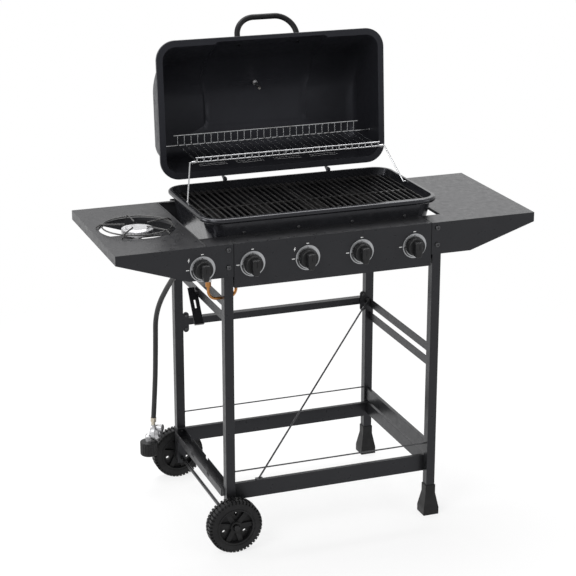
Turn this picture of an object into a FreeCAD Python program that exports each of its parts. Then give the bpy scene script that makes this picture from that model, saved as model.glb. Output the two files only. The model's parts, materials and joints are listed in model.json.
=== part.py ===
import FreeCAD, Part
import math
import os

V = FreeCAD.Vector
os.makedirs("parts", exist_ok=True)

# Construction frame: X runs right from the control panel's left end, Y runs back from the
# panel's front face, Z runs up from the ground. All pieces are centred on export.

# Sheet, wire and tube stock
SHEET = 1.5
WIRE = 4.0
FLOOR_WIRE = 3.0
RUN_FIT = 0.05
SLIP = 0.3

# Control panel and side shelves
TOP_Z = 856.0
PANEL_W = 560.0
PANEL_H = 119.0
PANEL_FLANGE = 75.0
PANEL_RETURN = 20.0
SEAM_GAP = 1.6
SHELF_D = 456.5
SHELF_L_OUT = 313.0
SHELF_R_OUT = 306.0
SHELF_L_IN = 70.0
SHELF_R_IN = 57.0
SKIRT = 26.0
INNER_LIP = 8.0
FASCIA_H = 88.5
KNEE_L = 120.0
KNEE_R = 116.0
STRIP_GAP = 3.0
REAR_STRIP = 11.0

# Cart
LEG = 25.0
LEG_WALL = 1.5
LEG_MID_X = 281.5
LEG_SPAN_X = 590.0
FOOT_BASE = 46.0
FOOT_H = 88.0
FOOT_SEAT = 20.0
FOOT_WALL = 2.3
RAIL_TOP = 171.0
RAIL_H = 47.0
RAIL_FLANGE = 12.0
CHANNEL_W = 32.0
CHANNEL_H = 21.0
CHANNEL_TOP = 161.0
NOTCH = 20.0
NOTCH_DEPTH = 9.0
BAR_FLANGE = 11.0
LOW_BAR_H = 36.0
LOW_BAR_PITCH = 43.0
UP_BAR_H = 26.0
UP_BAR_PITCH = 41.0
UP_RIGHT_TOP = 498.0
UP_LEFT_TOP = 696.0
CROSS_BAR = 20.0
CROSS_Z = 492.0
CROSS_PLATE_W = 17.0
CROSS_PLATE_H = 60.0
CROSS_PLATE_T = 4.0
GUARD_Z = 213.0
BRACE_D = 5.0
BRACE_FOOT_X = 78.0
HOOK_W = 26.0
HOOK_RISE = 6.0
HOOK_L = 108.0
HOOK_T = 2.0
HOOK_TILT = 35.0

# Wheels
WHEEL_D = 150.0
WHEEL_W = 38.0
WHEEL_GAP = 4.0
TYRE_T = 28.0
WEB_T = 12.0
HUB_R = 15.0
AXLE_D = 10.0
CLEATS = 44
CLEAT_GAP = 4.0
CLEAT_DEPTH = 3.5
SHOULDER = 8.0
TREAD_GROOVE = 4.0
SPOKE_W = 13.0
SPOKE_SPREAD = 36.0
WHEEL_TURN = 5.0
NUT_T = 7.0

# Firebox
RIM_Z = 905.0
RIM_H = 14.0
RIM_X0 = -55.0
RIM_W = 671.0
RIM_Y0 = 60.0
RIM_D = 383.0
RIM_R = 55.0
RIM_OVER = 10.0
RIM_OVER_SIDE = 12.0
RIM_BEAD = 6.0
RIM_OVER_FRONT = 15.0
TUB_H = 143.0
TUB_LEAN = 30.0
TUB_R = 45.0
TUB_BOTTOM_R = 22.0
LEDGE = 10.0
LEDGE_DROP = 28.0
DRAIN_D = 60.0

# Burners and gas train
KNOB_X0 = 52.0
KNOB_PITCH = 152.5
KNOB_Z = 798.0
SIDE_KNOB_X = -84.0
BURNER_COUNT = 4
BURNER_D = 26.0
BURNER_WALL = 2.0
PLATE_W = 66.0
PLATE_RISE = 20.0
PLATE_Z = 832.0
MANIFOLD_D = 18.0
MANIFOLD_Y = 50.0
VALVE_W = 24.0
VALVE_Y0 = 22.0
VALVE_Y1 = 54.0
STEM_D = 8.0
PUSH = 4.0
KNOB_D = 52.0
KNOB_BASE_T = 12.0
KNOB_GAP = 7.0
GRIP_W = 22.0
GRIP_T = 16.0
GRIP_UP = 17.0
GRIP_DOWN = 26.0
BEZEL_D = 68.0
BEZEL_HOLE = 46.0
MOON_SHIFT = 4.5
BEZEL_T = 1.2
GRATE_ROD = 5.0
GRATE_PITCH = 17.4
GRATE_RODS = 19

# Side burner
HOB_D = 204.0
HOB_HEAD_D = 84.0
TRIVET_Z = 868.0

# Lid, closed on the firebox rim
LID_GAP = 0.6
LID_OVER = 1.5
LID_H = 165.0
LID_T = 2.0
LID_RIM = 16.0
LID_LIP = 9.0
LEAN_FRONT = 29.0
LEAN_REAR = 8.0
LEAN_SIDE = 4.0
FRONT_ROUND = 150.0
REAR_ROUND = 42.0
SIDE_ROUND = 30.0
BULGE_W = 340.0
BULGE = 7.0
BULGE_BACK = 285.0
HINGE_BACK = 11.0
HINGE_HALF = 156.0
HINGE_PIN_D = 6.0
HINGE_T = 3.0
LID_OPEN = 94.0
GAUGE_BACK = 151.0
HANDLE_W = 176.0
HANDLE_OUT = 79.0
HANDLE_R = 57.0
HANDLE_T = 16.0

# Warming rack linkage, open position
CRANK_Y = 70.0
CRANK_Z = 90.0
RACK_D = 178.0
RACK_RISE = 6.0
LEG_SPLAY = 33.0
RACK_PIN_CLEAR = 1.0
RACK_BACK_H = 28.0
RACK_FRONT_H = 12.0
RACK_WIRE_PITCH = 20.0

# Gas hose
HOSE_D = 14.5
HOSE_DROP = -87.0
COUPLING_R = 25.5
COUPLING_H = 42.0

# Positions shared by several pieces
panel_bottom = TOP_Z - PANEL_H
leg_xl = LEG_MID_X - LEG_SPAN_X / 2
leg_xr = LEG_MID_X + LEG_SPAN_X / 2
leg_yf = SHEET + LEG / 2
leg_yr = SHELF_D + LEG / 2
front_back_face = SHEET + LEG
in_l = leg_xl + LEG / 2
in_r = leg_xr - LEG / 2
leg_top = TOP_Z - SHEET
axle_z = WHEEL_D / 2
rim_x1 = RIM_X0 + RIM_W
rim_y1 = RIM_Y0 + RIM_D
x_c = RIM_X0 + RIM_W / 2
wall_x0 = RIM_X0 + RIM_OVER_SIDE
wall_x1 = rim_x1 - RIM_OVER_SIDE
wall_y0 = RIM_Y0 + RIM_OVER_FRONT
wall_y1 = rim_y1 - RIM_OVER
tub_z0 = RIM_Z - TUB_H
rim_z0 = RIM_Z - RIM_H
hinge_y = rim_y1 + HINGE_BACK
hinge_z = RIM_Z
knob_x = [KNOB_X0 + KNOB_PITCH * i for i in range(BURNER_COUNT)]
all_knob_x = [SIDE_KNOB_X] + knob_x
hob_x = -(SHELF_L_OUT + SHELF_L_IN) / 2
hob_y = SHELF_D / 2
nodes = {}


def box(x0, x1, y0, y1, z0, z1):
    return Part.makeBox(x1 - x0, y1 - y0, z1 - z0, V(x0, y0, z0))


def rod(a, b, d):
    return Part.makeCylinder(d / 2, (b - a).Length, a, b - a)


def prism(axis, pts, a, b):
    """Polygon drawn in the plane across an axis and extruded from a to b."""
    spots = {"x": [V(a, u, w) for u, w in pts],
             "y": [V(u, a, w) for u, w in pts],
             "z": [V(u, w, a) for u, w in pts]}[axis]
    run = {"x": V(b - a, 0, 0), "y": V(0, b - a, 0), "z": V(0, 0, b - a)}[axis]
    return Part.Face(Part.makePolygon(spots + spots[:1])).extrude(run)


def fuse(shapes):
    return shapes[0].multiFuse(shapes[1:])


def sheet_fuse(shapes):
    return fuse(shapes).removeSplitter()


def mirror_x(shape):
    return shape.mirror(V(x_c, 0, 0), V(1, 0, 0))


def rounded(x0, x1, y0, y1, r, z):
    """Closed wire of a rounded rectangle at height z."""
    k = r * (1 - math.sqrt(0.5))
    line = Part.LineSegment
    arc = Part.Arc
    edges = [line(V(x0 + r, y0, z), V(x1 - r, y0, z)),
             arc(V(x1 - r, y0, z), V(x1 - k, y0 + k, z), V(x1, y0 + r, z)),
             line(V(x1, y0 + r, z), V(x1, y1 - r, z)),
             arc(V(x1, y1 - r, z), V(x1 - k, y1 - k, z), V(x1 - r, y1, z)),
             line(V(x1 - r, y1, z), V(x0 + r, y1, z)),
             arc(V(x0 + r, y1, z), V(x0 + k, y1 - k, z), V(x0, y1 - r, z)),
             line(V(x0, y1 - r, z), V(x0, y0 + r, z)),
             arc(V(x0, y0 + r, z), V(x0 + k, y0 + k, z), V(x0 + r, y0, z))]
    return Part.Wire([e.toShape() for e in edges])


def rounded_block(x0, x1, y0, y1, r, z0, z1):
    return Part.Face(rounded(x0, x1, y0, y1, r, z0)).extrude(V(0, 0, z1 - z0))


def route(points):
    """Straight runs joined by tangent arcs; returns the wire and its bend radii."""
    edges = []
    radii = []
    start = points[0]
    for before, here, after in zip(points, points[1:], points[2:]):
        u = here - before
        w = after - here
        turn = u.getAngle(w)
        reach = 0.45 * min(u.Length, w.Length)
        radius = reach / math.tan(turn / 2)
        u.normalize()
        w.normalize()
        a = here - u * reach
        b = here + w * reach
        inward = w - u
        inward.normalize()
        middle = here + inward * (radius / math.cos(turn / 2) - radius)
        edges.append(Part.LineSegment(start, a).toShape())
        edges.append(Part.Arc(a, middle, b).toShape())
        radii.append(radius)
        start = b
    edges.append(Part.LineSegment(start, points[-1]).toShape())
    return Part.Wire(edges), radii


def tube(points, d):
    wire, radii = route(points)
    along = points[1] - points[0]
    profile = Part.Wire([Part.Circle(points[0], along, d / 2).toShape()])
    return wire.makePipeShell([profile], True, False), wire, radii


def screw_head(at, out, d=9.0, t=3.0):
    """Pan head with a hexagon socket, seated on a face."""
    head = Part.makeCylinder(d / 2, t, at, out)
    rim = [e for e in head.Edges if abs((e.CenterOfMass - at).dot(out) - t) < 0.01]
    head = head.makeFillet(t * 0.4, rim)
    socket = Part.makeCylinder(d * 0.22, t * 0.6, at + out * (t * 0.55), out)
    return head.cut(socket)


FRONT = V(0, -1, 0)
BACK = V(0, 1, 0)
LEFT = V(-1, 0, 0)
RIGHT = V(1, 0, 0)
UP = V(0, 0, 1)


# Legs, feet, axle and wheels
def leg(x, y, z0):
    h = LEG / 2
    i = h - LEG_WALL
    return box(x - h, x + h, y - h, y + h, z0, leg_top).cut(box(x - i, x + i, y - i, y + i, z0, leg_top))


axle_bore = rod(V(leg_xl, leg_yf - LEG, axle_z), V(leg_xl, leg_yr + LEG, axle_z), AXLE_D + 2 * RUN_FIT)
wheel_leg_end = axle_z - AXLE_D * 1.7
nodes["leg_front_left"] = leg(leg_xl, leg_yf, wheel_leg_end).cut(axle_bore)
nodes["leg_rear_left"] = leg(leg_xl, leg_yr, wheel_leg_end).cut(axle_bore)
nodes["leg_front_right"] = leg(leg_xr, leg_yf, FOOT_SEAT)
nodes["leg_rear_right"] = leg(leg_xr, leg_yr, FOOT_SEAT)


def foot(x, y):
    top = LEG / 2 + FOOT_WALL
    base = FOOT_BASE / 2
    rows = [(0, base), (FOOT_SEAT, base), (FOOT_H * 0.72, top), (FOOT_H, top)]
    wires = []
    for z, h in rows:
        ring = [V(x - h, y - h, z), V(x + h, y - h, z), V(x + h, y + h, z), V(x - h, y + h, z)]
        wires.append(Part.makePolygon(ring + ring[:1]))
    socket = LEG / 2 + RUN_FIT
    return Part.makeLoft(wires, True, True).cut(
        box(x - socket, x + socket, y - socket, y + socket, FOOT_SEAT, FOOT_H))


nodes["leg_feet"] = Part.makeCompound([foot(leg_xr, leg_yf), foot(leg_xr, leg_yr)])

wheel_f0 = SHEET - WHEEL_GAP - WHEEL_W
wheel_r0 = SHELF_D + LEG + WHEEL_GAP
axle_reach = NUT_T + 1.5
axle_y0 = wheel_f0 - axle_reach
axle_y1 = wheel_r0 + WHEEL_W + axle_reach
nodes["axle"] = rod(V(leg_xl, axle_y0, axle_z), V(leg_xl, axle_y1, axle_z), AXLE_D)


def wheel(y0):
    """Moulded wheel: two rows of cleats, dished web with six spokes and three holes, recessed hub."""
    r = WHEEL_D / 2
    inner = r - TYRE_T
    y1 = y0 + WHEEL_W
    mid = (y0 + y1) / 2
    hub = V(leg_xl, 0, axle_z)
    centre = V(leg_xl, y0, axle_z)

    def disc(radius, a, b):
        return Part.makeCylinder(radius, b - a, V(leg_xl, a, axle_z), BACK)

    tyre = disc(r, y0, y1)
    tyre = tyre.makeFillet(5.0, [e for e in tyre.Edges if e.Curve.TypeId == "Part::GeomCircle"])
    tyre = tyre.cut(disc(inner, y0, y1))
    tread = r - CLEAT_DEPTH
    half = TREAD_GROOVE / 2
    cuts = [disc(r + 1, mid - half, mid + half).cut(disc(tread, mid - half, mid + half))]
    for face in (y0, y1):
        step = 1 if face == y0 else -1
        shape = [(face - step, r + 1), (mid - step * half, r + 1),
                 (mid - step * half, tread), (face + step * 5, tread),
                 (face + step * 3, r - SHOULDER), (face - step, r - SHOULDER)]
        pts = [(y, axle_z + z) for y, z in shape]
        for i in range(CLEATS):
            slot = prism("x", pts, leg_xl - CLEAT_GAP / 2, leg_xl + CLEAT_GAP / 2)
            slot.rotate(hub, BACK, 360.0 * (i + (0.5 if face == y1 else 0.0)) / CLEATS)
            cuts.append(slot)
        ring = disc(inner + 7, min(face, face + step * 1.2), max(face, face + step * 1.2))
        cuts.append(ring.cut(disc(inner + 4, y0, y1)))
    pieces = [tyre.cut(Part.makeCompound(cuts)), disc(inner + 0.5, mid - WEB_T / 2, mid + WEB_T / 2),
              disc(HUB_R, y0, y1)]
    for i in range(3):
        for turn in (-SPOKE_SPREAD, SPOKE_SPREAD):
            spoke = box(leg_xl - SPOKE_W / 2, leg_xl + SPOKE_W / 2, y0 + 6, y1 - 6,
                        axle_z + HUB_R - 2, axle_z + inner + 0.5)
            spoke.rotate(hub, BACK, WHEEL_TURN + 120.0 * i + turn)
            pieces.append(spoke)
    holes = [disc(AXLE_D / 2 + RUN_FIT + 0.03, y0 - 1, y1 + 1), disc(HUB_R - 4, y0 - 1, y0 + 4),
             disc(HUB_R - 4, y1 - 4, y1 + 1)]
    for i in range(3):
        hole = Part.makeCylinder(5.5, WHEEL_W, centre + V(0, 0, inner * 0.72), BACK)
        hole.rotate(hub, BACK, WHEEL_TURN + 120.0 * i)
        holes.append(hole)
    body = fuse(pieces)
    for hole in holes:
        body = body.cut(hole)
    return body


nodes["wheel_front"] = wheel(wheel_f0)
nodes["wheel_rear"] = wheel(wheel_r0)


def axle_nut(y, out):
    """Push-on cap nut on an axle end, with its washer face towards the wheel."""
    at = V(leg_xl, y, axle_z)
    cap = Part.makeCylinder(AXLE_D * 0.8, NUT_T + 1, at, out)
    rim = [e for e in cap.Edges if abs((e.CenterOfMass - at).dot(out) - NUT_T - 1) < 0.01]
    cap = cap.makeFillet(3.0, rim)
    return cap.cut(Part.makeCylinder(AXLE_D / 2, axle_reach - 1, at, out))


nodes["axle_caps"] = Part.makeCompound([axle_nut(wheel_f0 - 1, FRONT),
                                        axle_nut(wheel_r0 + WHEEL_W + 1, BACK)])

# Lower frame
rail_z0 = RAIL_TOP - RAIL_H
rail_f = front_back_face
rail_r = SHELF_D
front_rail = sheet_fuse([box(leg_xl, leg_xr, rail_f, rail_f + SHEET, rail_z0, RAIL_TOP),
                         box(leg_xl, leg_xr, rail_f, rail_f + RAIL_FLANGE, RAIL_TOP - SHEET, RAIL_TOP)])
rear_x0 = leg_xl - LEG / 2
rear_x1 = leg_xr + LEG / 2
rear_rail = sheet_fuse([box(rear_x0, rear_x1, rail_r - SHEET, rail_r, rail_z0, RAIL_TOP),
                        box(rear_x0, rear_x1, rail_r - RAIL_FLANGE, rail_r, RAIL_TOP - SHEET, RAIL_TOP)])
nodes["lower_rails"] = Part.makeCompound([front_rail, rear_rail])

chan_y0 = rail_f + SHEET
chan_y1 = rail_r - SHEET
chan_x1 = in_l
chan_x0 = chan_x1 - CHANNEL_W
chan_z0 = CHANNEL_TOP - CHANNEL_H
channel = sheet_fuse([box(chan_x0, chan_x1, chan_y0, chan_y1, chan_z0, chan_z0 + SHEET),
                      box(chan_x0, chan_x0 + SHEET, chan_y0, chan_y1, chan_z0, CHANNEL_TOP),
                      box(chan_x1 - SHEET, chan_x1, chan_y0, chan_y1, chan_z0, CHANNEL_TOP)])
chan_len = chan_y1 - chan_y0
notch_z = CHANNEL_TOP - NOTCH_DEPTH
for x, share in ((chan_x0, 0.27), (chan_x0, 0.60), (chan_x1 - SHEET, 0.52), (chan_x1 - SHEET, 0.85)):
    y = chan_y0 + chan_len * share
    channel = channel.cut(box(x - 1, x + SHEET + 1, y - NOTCH / 2, y + NOTCH / 2, notch_z, CHANNEL_TOP + 1))
nodes["lower_channel_left"] = channel


def angle_bar(x, y0, y1, top, h, side, flange_at_top):
    """Angle section along Y: a web in the X plane and a flange towards +X or -X."""
    web = box(x, x + SHEET, y0, y1, top - h, top)
    zf = top - SHEET if flange_at_top else top - h
    xf = (x, x + BAR_FLANGE) if side > 0 else (x + SHEET - BAR_FLANGE, x + SHEET)
    return sheet_fuse([web, box(xf[0], xf[1], y0, y1, zf, zf + SHEET)])


bar_y0 = front_back_face
bar_y1 = SHELF_D
bar_xr = leg_xr - LEG * 0.25
nodes["lower_bars_right"] = Part.makeCompound([
    angle_bar(bar_xr, chan_y0, chan_y1, RAIL_TOP - SHEET, LOW_BAR_H, 1, True),
    angle_bar(bar_xr, bar_y0, bar_y1, RAIL_TOP + LOW_BAR_PITCH, LOW_BAR_H, 1, True)])
nodes["upper_bars_right"] = Part.makeCompound([
    angle_bar(leg_xr + SHEET, bar_y0, bar_y1, UP_RIGHT_TOP - UP_BAR_PITCH * i, UP_BAR_H, 1, False)
    for i in range(2)])
bar_xl = leg_xl + SHEET
nodes["upper_bars_left"] = Part.makeCompound([
    angle_bar(bar_xl, bar_y0, bar_y1, UP_LEFT_TOP - UP_BAR_PITCH * i, UP_BAR_H, 1, False)
    for i in range(2)])


def pill(x0, x1, y0, y1, zc, h):
    """Upright plate with round ends, facing front."""
    r = (x1 - x0) / 2
    xm = (x0 + x1) / 2
    return sheet_fuse([box(x0, x1, y0, y1, zc - h / 2 + r, zc + h / 2 - r),
                       Part.makeCylinder(r, y1 - y0, V(xm, y0, zc + h / 2 - r), BACK),
                       Part.makeCylinder(r, y1 - y0, V(xm, y0, zc - h / 2 + r), BACK)])


plate_y0 = leg_yr - LEG / 2
plate_y1 = plate_y0 + CROSS_PLATE_T
cross_in = CROSS_BAR / 2 - SHEET
cross_tube = box(in_l + 5, in_r - 5, plate_y1, plate_y1 + CROSS_BAR,
                 CROSS_Z - CROSS_BAR / 2, CROSS_Z + CROSS_BAR / 2)
cross_tube = cross_tube.cut(box(in_l + 5, in_r - 5, plate_y1 + SHEET, plate_y1 + CROSS_BAR - SHEET,
                                CROSS_Z - cross_in, CROSS_Z + cross_in))
nodes["upper_bar_rear"] = fuse([
    cross_tube,
    pill(in_l, in_l + CROSS_PLATE_W, plate_y0, plate_y1, CROSS_Z, CROSS_PLATE_H),
    pill(in_r - CROSS_PLATE_W, in_r, plate_y0, plate_y1, CROSS_Z, CROSS_PLATE_H)])

nodes["guard_wires"] = Part.makeCompound([
    rod(V(in_l, y, GUARD_Z), V(in_r, y, GUARD_Z), WIRE) for y in (leg_yf, leg_yr)])

lug_y0 = SHELF_D - 3.0
lug_half = 6.0
brace_hi = V(leg_xr - lug_half, SHELF_D - 2.3, CROSS_Z + 1.5)
brace_lo = V(BRACE_FOOT_X, rail_f + RAIL_FLANGE * 0.55, RAIL_TOP + 4.5)
nodes["brace_rod"] = fuse([
    rod(brace_lo, brace_hi, BRACE_D),
    box(brace_hi.x - lug_half, brace_hi.x + lug_half, lug_y0, SHELF_D,
        brace_hi.z - lug_half, brace_hi.z + lug_half),
    box(brace_lo.x - 10, brace_lo.x + 10, rail_f + 1, rail_f + RAIL_FLANGE, RAIL_TOP, RAIL_TOP + 4.0)])

# Gas bottle hook: a slotted strap hanging from an ear on the lower left bar
hook_pivot = V(bar_xl, chan_y0 + chan_len * 0.6, UP_LEFT_TOP - UP_BAR_PITCH - 7.0)
hook_x1 = bar_xl - SLIP
ear_x0 = hook_x1 - HOOK_T
hook_x0 = hook_x1 - HOOK_W
head_x = ear_x0 - 0.5
hook_top = hook_pivot.z + HOOK_RISE
hook_end = hook_top - HOOK_L
hook_y0 = hook_pivot.y - HOOK_T / 2
hook_y1 = hook_pivot.y + HOOK_T / 2
strap = box(hook_x0, hook_x1, hook_y0, hook_y1, hook_end, hook_top)
strap = strap.cut(box(head_x - 4, hook_x1 + 1, hook_y0 - 1, hook_y1 + 1, hook_pivot.z - 7, hook_top + 1))
hook = fuse([strap,
             box(ear_x0, hook_x1, hook_pivot.y - 8, hook_pivot.y + 8, hook_pivot.z - 16, hook_pivot.z),
             Part.makeCylinder(8.0, HOOK_T, V(ear_x0, hook_pivot.y, hook_pivot.z), RIGHT),
             box(hook_x0, hook_x1, hook_pivot.y - 9, hook_y1, hook_end, hook_end + HOOK_T)])
hook_mid = (hook_x0 + hook_x1) / 2
hook = hook.cut(box(hook_mid - 2.5, hook_mid + 2.5, hook_pivot.y - 2, hook_pivot.y + 2,
                    hook_top - 60, hook_top - 36))
hook = hook.cut(rod(V(ear_x0 - 1, hook_pivot.y, hook_pivot.z), V(hook_x1 + 1, hook_pivot.y, hook_pivot.z),
                    5.0 + 2 * RUN_FIT))
hook.rotate(hook_pivot, RIGHT, -HOOK_TILT)
nodes["bottle_hook"] = hook
hook_screw = fuse([rod(V(head_x, hook_pivot.y, hook_pivot.z), V(bar_xl, hook_pivot.y, hook_pivot.z), 5.0),
                   Part.makeCylinder(5.0, 3.0, V(head_x, hook_pivot.y, hook_pivot.z), LEFT)])

# Control panel: face, top flange with a lip on the firebox, bottom flange, end flanges
panel_x0 = SEAM_GAP
panel_x1 = PANEL_W - SEAM_GAP
panel = [box(panel_x0, panel_x1, 0, SHEET, panel_bottom, TOP_Z),
         box(panel_x0, panel_x1, 0, PANEL_FLANGE, TOP_Z - SHEET, TOP_Z),
         box(panel_x0, panel_x1, PANEL_FLANGE - SHEET, PANEL_FLANGE, TOP_Z - 16, TOP_Z),
         box(panel_x0, panel_x1, 0, PANEL_RETURN, panel_bottom, panel_bottom + SHEET)]
tab_y = front_back_face
tab_z0 = panel_bottom + 12
for x_end, x_tab in ((panel_x0, leg_xl), (panel_x1 - SHEET, leg_xr)):
    panel.append(box(x_end, x_end + SHEET, 0, tab_y + SHEET, panel_bottom, TOP_Z))
    lo = min(x_end, x_tab)
    hi = max(x_end + SHEET, x_tab)
    panel.append(box(lo, hi, tab_y, tab_y + SHEET, tab_z0, tab_z0 + 60))
panel = sheet_fuse(panel)
stem_hole = STEM_D + 2.0
panel = panel.cut(Part.makeCompound([
    rod(V(x, -1, KNOB_Z), V(x, SHEET + 1, KNOB_Z), stem_hole) for x in knob_x]))
nodes["control_panel"] = panel


# Side shelves
def shelf(outer, inner, seam, knee, side, lip_h):
    """Shelf pressing: top with front and rear strips, deep fascias, skirt and inner lip.

    side is -1 for the left shelf and +1 for the right one; positions are given along X."""
    def span(a, b):
        return min(a, b), max(a, b)

    x0, x1 = span(outer, inner)
    s0, s1 = span(inner, seam)
    f_bottom = TOP_Z - FASCIA_H
    rear_end = in_l if side < 0 else in_r
    r0, r1 = span(inner, rear_end)
    e0, e1 = span(outer, outer - side * SHEET)
    l0, l1 = span(inner, inner + side * SHEET)
    fascia = [(outer, TOP_Z), (seam, TOP_Z), (seam, f_bottom), (knee, f_bottom), (outer, TOP_Z - SKIRT)]
    rear = [(outer, TOP_Z), (rear_end, TOP_Z), (rear_end, f_bottom), (knee, f_bottom), (outer, TOP_Z - SKIRT)]
    strip_y = PANEL_FLANGE - STRIP_GAP
    shapes = [box(x0, x1, 0, SHELF_D, TOP_Z - SHEET, TOP_Z),
              box(s0, s1, 0, strip_y, TOP_Z - SHEET, TOP_Z),
              box(r0, r1, SHELF_D - REAR_STRIP, SHELF_D, TOP_Z - SHEET, TOP_Z),
              prism("y", fascia, 0, SHEET),
              prism("y", rear, SHELF_D - SHEET, SHELF_D),
              box(e0, e1, 0, SHELF_D, TOP_Z - SKIRT, TOP_Z),
              box(l0, l1, strip_y, SHELF_D, TOP_Z - lip_h, TOP_Z)]
    return sheet_fuse(shapes)


left_shelf = shelf(-SHELF_L_OUT, -SHELF_L_IN, 0, -KNEE_L, -1, SKIRT)
bead = rod(V(-SHELF_L_IN - 2, 6, TOP_Z - 0.5), V(-SHELF_L_IN - 2, SHELF_D - 6, TOP_Z - 0.5), 4.0)
left_shelf = left_shelf.fuse(bead)
hob_lip = Part.makeCylinder(HOB_D / 2 + SHEET, 8.0, V(hob_x, hob_y, TOP_Z - 8.0), UP)
left_shelf = left_shelf.fuse(hob_lip)
left_shelf = left_shelf.cut(Part.makeCylinder(HOB_D / 2, 40.0, V(hob_x, hob_y, TOP_Z - 20.0), UP))
left_shelf = left_shelf.cut(rod(V(SIDE_KNOB_X, -1, KNOB_Z), V(SIDE_KNOB_X, SHEET + 1, KNOB_Z), stem_hole))
nodes["shelf_left"] = left_shelf
nodes["shelf_right"] = shelf(PANEL_W + SHELF_R_OUT, PANEL_W + SHELF_R_IN, PANEL_W, PANEL_W + KNEE_R, 1,
                             INNER_LIP)

screw_z = (TOP_Z - 15.0, TOP_Z - 62.0)
screws = [screw_head(V(x, 0, z), FRONT, 13.0, 4.5) for x in (leg_xl, leg_xr) for z in screw_z]
screws += [screw_head(V(x, SHELF_D - SHEET, z), FRONT, 8.0, 2.5) for x in (leg_xl, leg_xr) for z in screw_z]
screws += [screw_head(V(x, rail_r - SHEET, z), FRONT, 7.0, 2.5)
           for x in (leg_xl, leg_xr) for z in (RAIL_TOP - 12, rail_z0 + 12)]
screws += [screw_head(V(x, plate_y0, CROSS_Z + dz), FRONT, 8.0, 2.5)
           for x in (in_l + CROSS_PLATE_W / 2, in_r - CROSS_PLATE_W / 2) for dz in (-20, 20)]
screws += [screw_head(V(x, tab_y + SHEET, tab_z0 + dz), BACK, 8.0, 2.5)
           for x in (leg_xl + 6, leg_xr - 6) for dz in (15, 45)]
screws += [screw_head(V(x + 2, wall_y0, TOP_Z + 5), FRONT, 8.0, 3.0) for x in knob_x]
nodes["frame_screws"] = Part.makeCompound(screws + [hook_screw])

# Firebox tub
def tub_block(offset, z0, z1):
    """Tapered tub body set in by the wall offset, between two heights."""
    def ring(z):
        lean = TUB_LEAN * (rim_z0 - z) / (rim_z0 - tub_z0)
        return rounded(wall_x0 + offset + lean, wall_x1 - offset - lean, wall_y0 + offset, wall_y1 - offset,
                       TUB_R - offset, z)

    return Part.makeLoft([ring(z0), ring(z1)], True, True)


def round_bottom(shape, r, z):
    edges = [e for e in shape.Edges if e.BoundBox.ZMax < z + 0.01]
    return shape.makeFillet(r, edges)


tub_outer = round_bottom(tub_block(0, tub_z0, rim_z0 + 1), TUB_BOTTOM_R, tub_z0)
rim_band = rounded_block(RIM_X0, rim_x1, RIM_Y0, rim_y1, RIM_R, rim_z0, RIM_Z)
rim_band = rim_band.makeFillet(RIM_BEAD, [e for e in rim_band.Edges
                                     if e.BoundBox.ZMax - e.BoundBox.ZMin < 0.01])
tub_inner = round_bottom(tub_block(SHEET, tub_z0 + SHEET, RIM_Z + 2), TUB_BOTTOM_R - SHEET, tub_z0 + SHEET)
tub = tub_outer.fuse(rim_band).cut(tub_inner)
in_y0 = wall_y0 + SHEET
in_y1 = wall_y1 - SHEET
ledge_z = RIM_Z - LEDGE_DROP
ledge_x0 = wall_x0 + TUB_R
ledge_x1 = wall_x1 - TUB_R
tub = tub.multiFuse([box(ledge_x0, ledge_x1, in_y0 - 0.5, in_y0 + LEDGE, ledge_z - 2, ledge_z),
                     box(ledge_x0, ledge_x1, in_y1 - LEDGE, in_y1 + 0.5, ledge_z - 2, ledge_z)])
cuts = [Part.makeCylinder(DRAIN_D / 2, 20, V(x_c, (wall_y0 + wall_y1) / 2, tub_z0 - 5), UP)]
burner_z = KNOB_Z
for x in knob_x:
    cuts.append(rod(V(x, wall_y0 - 5, burner_z), V(x, in_y0 + 5, burner_z), BURNER_D + 2 * SLIP))
    cuts.append(rod(V(x + 30, wall_y0 - 5, burner_z + 14), V(x + 30, in_y0 + 5, burner_z + 14),
                    7.0 + 2 * SLIP))
tub = tub.cut(Part.makeCompound(cuts))

# Rails under the tub that carry the grease cup
cup_half = 49.0
cup_z = tub_z0 - 15.5
cup_y = (wall_y0 + wall_y1) / 2
cup_rail_y0 = cup_y - 70
cup_rail_y1 = cup_y + 110
for s in (-1, 1):
    xa = x_c + s * (cup_half + SLIP)
    xb = xa + s * SHEET
    xi = x_c + s * (cup_half - 8)
    tub = tub.fuse(sheet_fuse([
        box(min(xa, xb), max(xa, xb), cup_rail_y0, cup_rail_y1, cup_z - SHEET, tub_z0 + 0.5),
        box(min(xi, xb), max(xi, xb), cup_rail_y0, cup_rail_y1, cup_z - SHEET, cup_z)]))

# Rack leg pivots in the rim band
rack_front_open = V(0, hinge_y - RACK_D + CRANK_Y, hinge_z - RACK_RISE + CRANK_Z)
rack_rear_open = V(0, hinge_y + CRANK_Y, hinge_z + CRANK_Z)
base_y = hinge_y - RACK_D
base_z = hinge_z - RACK_RISE
pin_in = wall_x0 + SHEET
pin_tip = pin_in - 8.0
pivot_hole = rod(V(pin_tip - 1, base_y, base_z), V(pin_in + 3, base_y, base_z), WIRE + 2 * RUN_FIT)
tub = tub.cut(Part.makeCompound([pivot_hole, mirror_x(pivot_hole)]))
nodes["firebox"] = tub

beam_y = SHELF_D
nodes["firebox_beam"] = sheet_fuse([
    box(in_l, in_r, beam_y, beam_y + SHEET, tub_z0 - SHEET, tub_z0 + 50),
    box(in_l, in_r, wall_y1 - TUB_BOTTOM_R - 25, beam_y + SHEET, tub_z0 - SHEET, tub_z0)])

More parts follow.
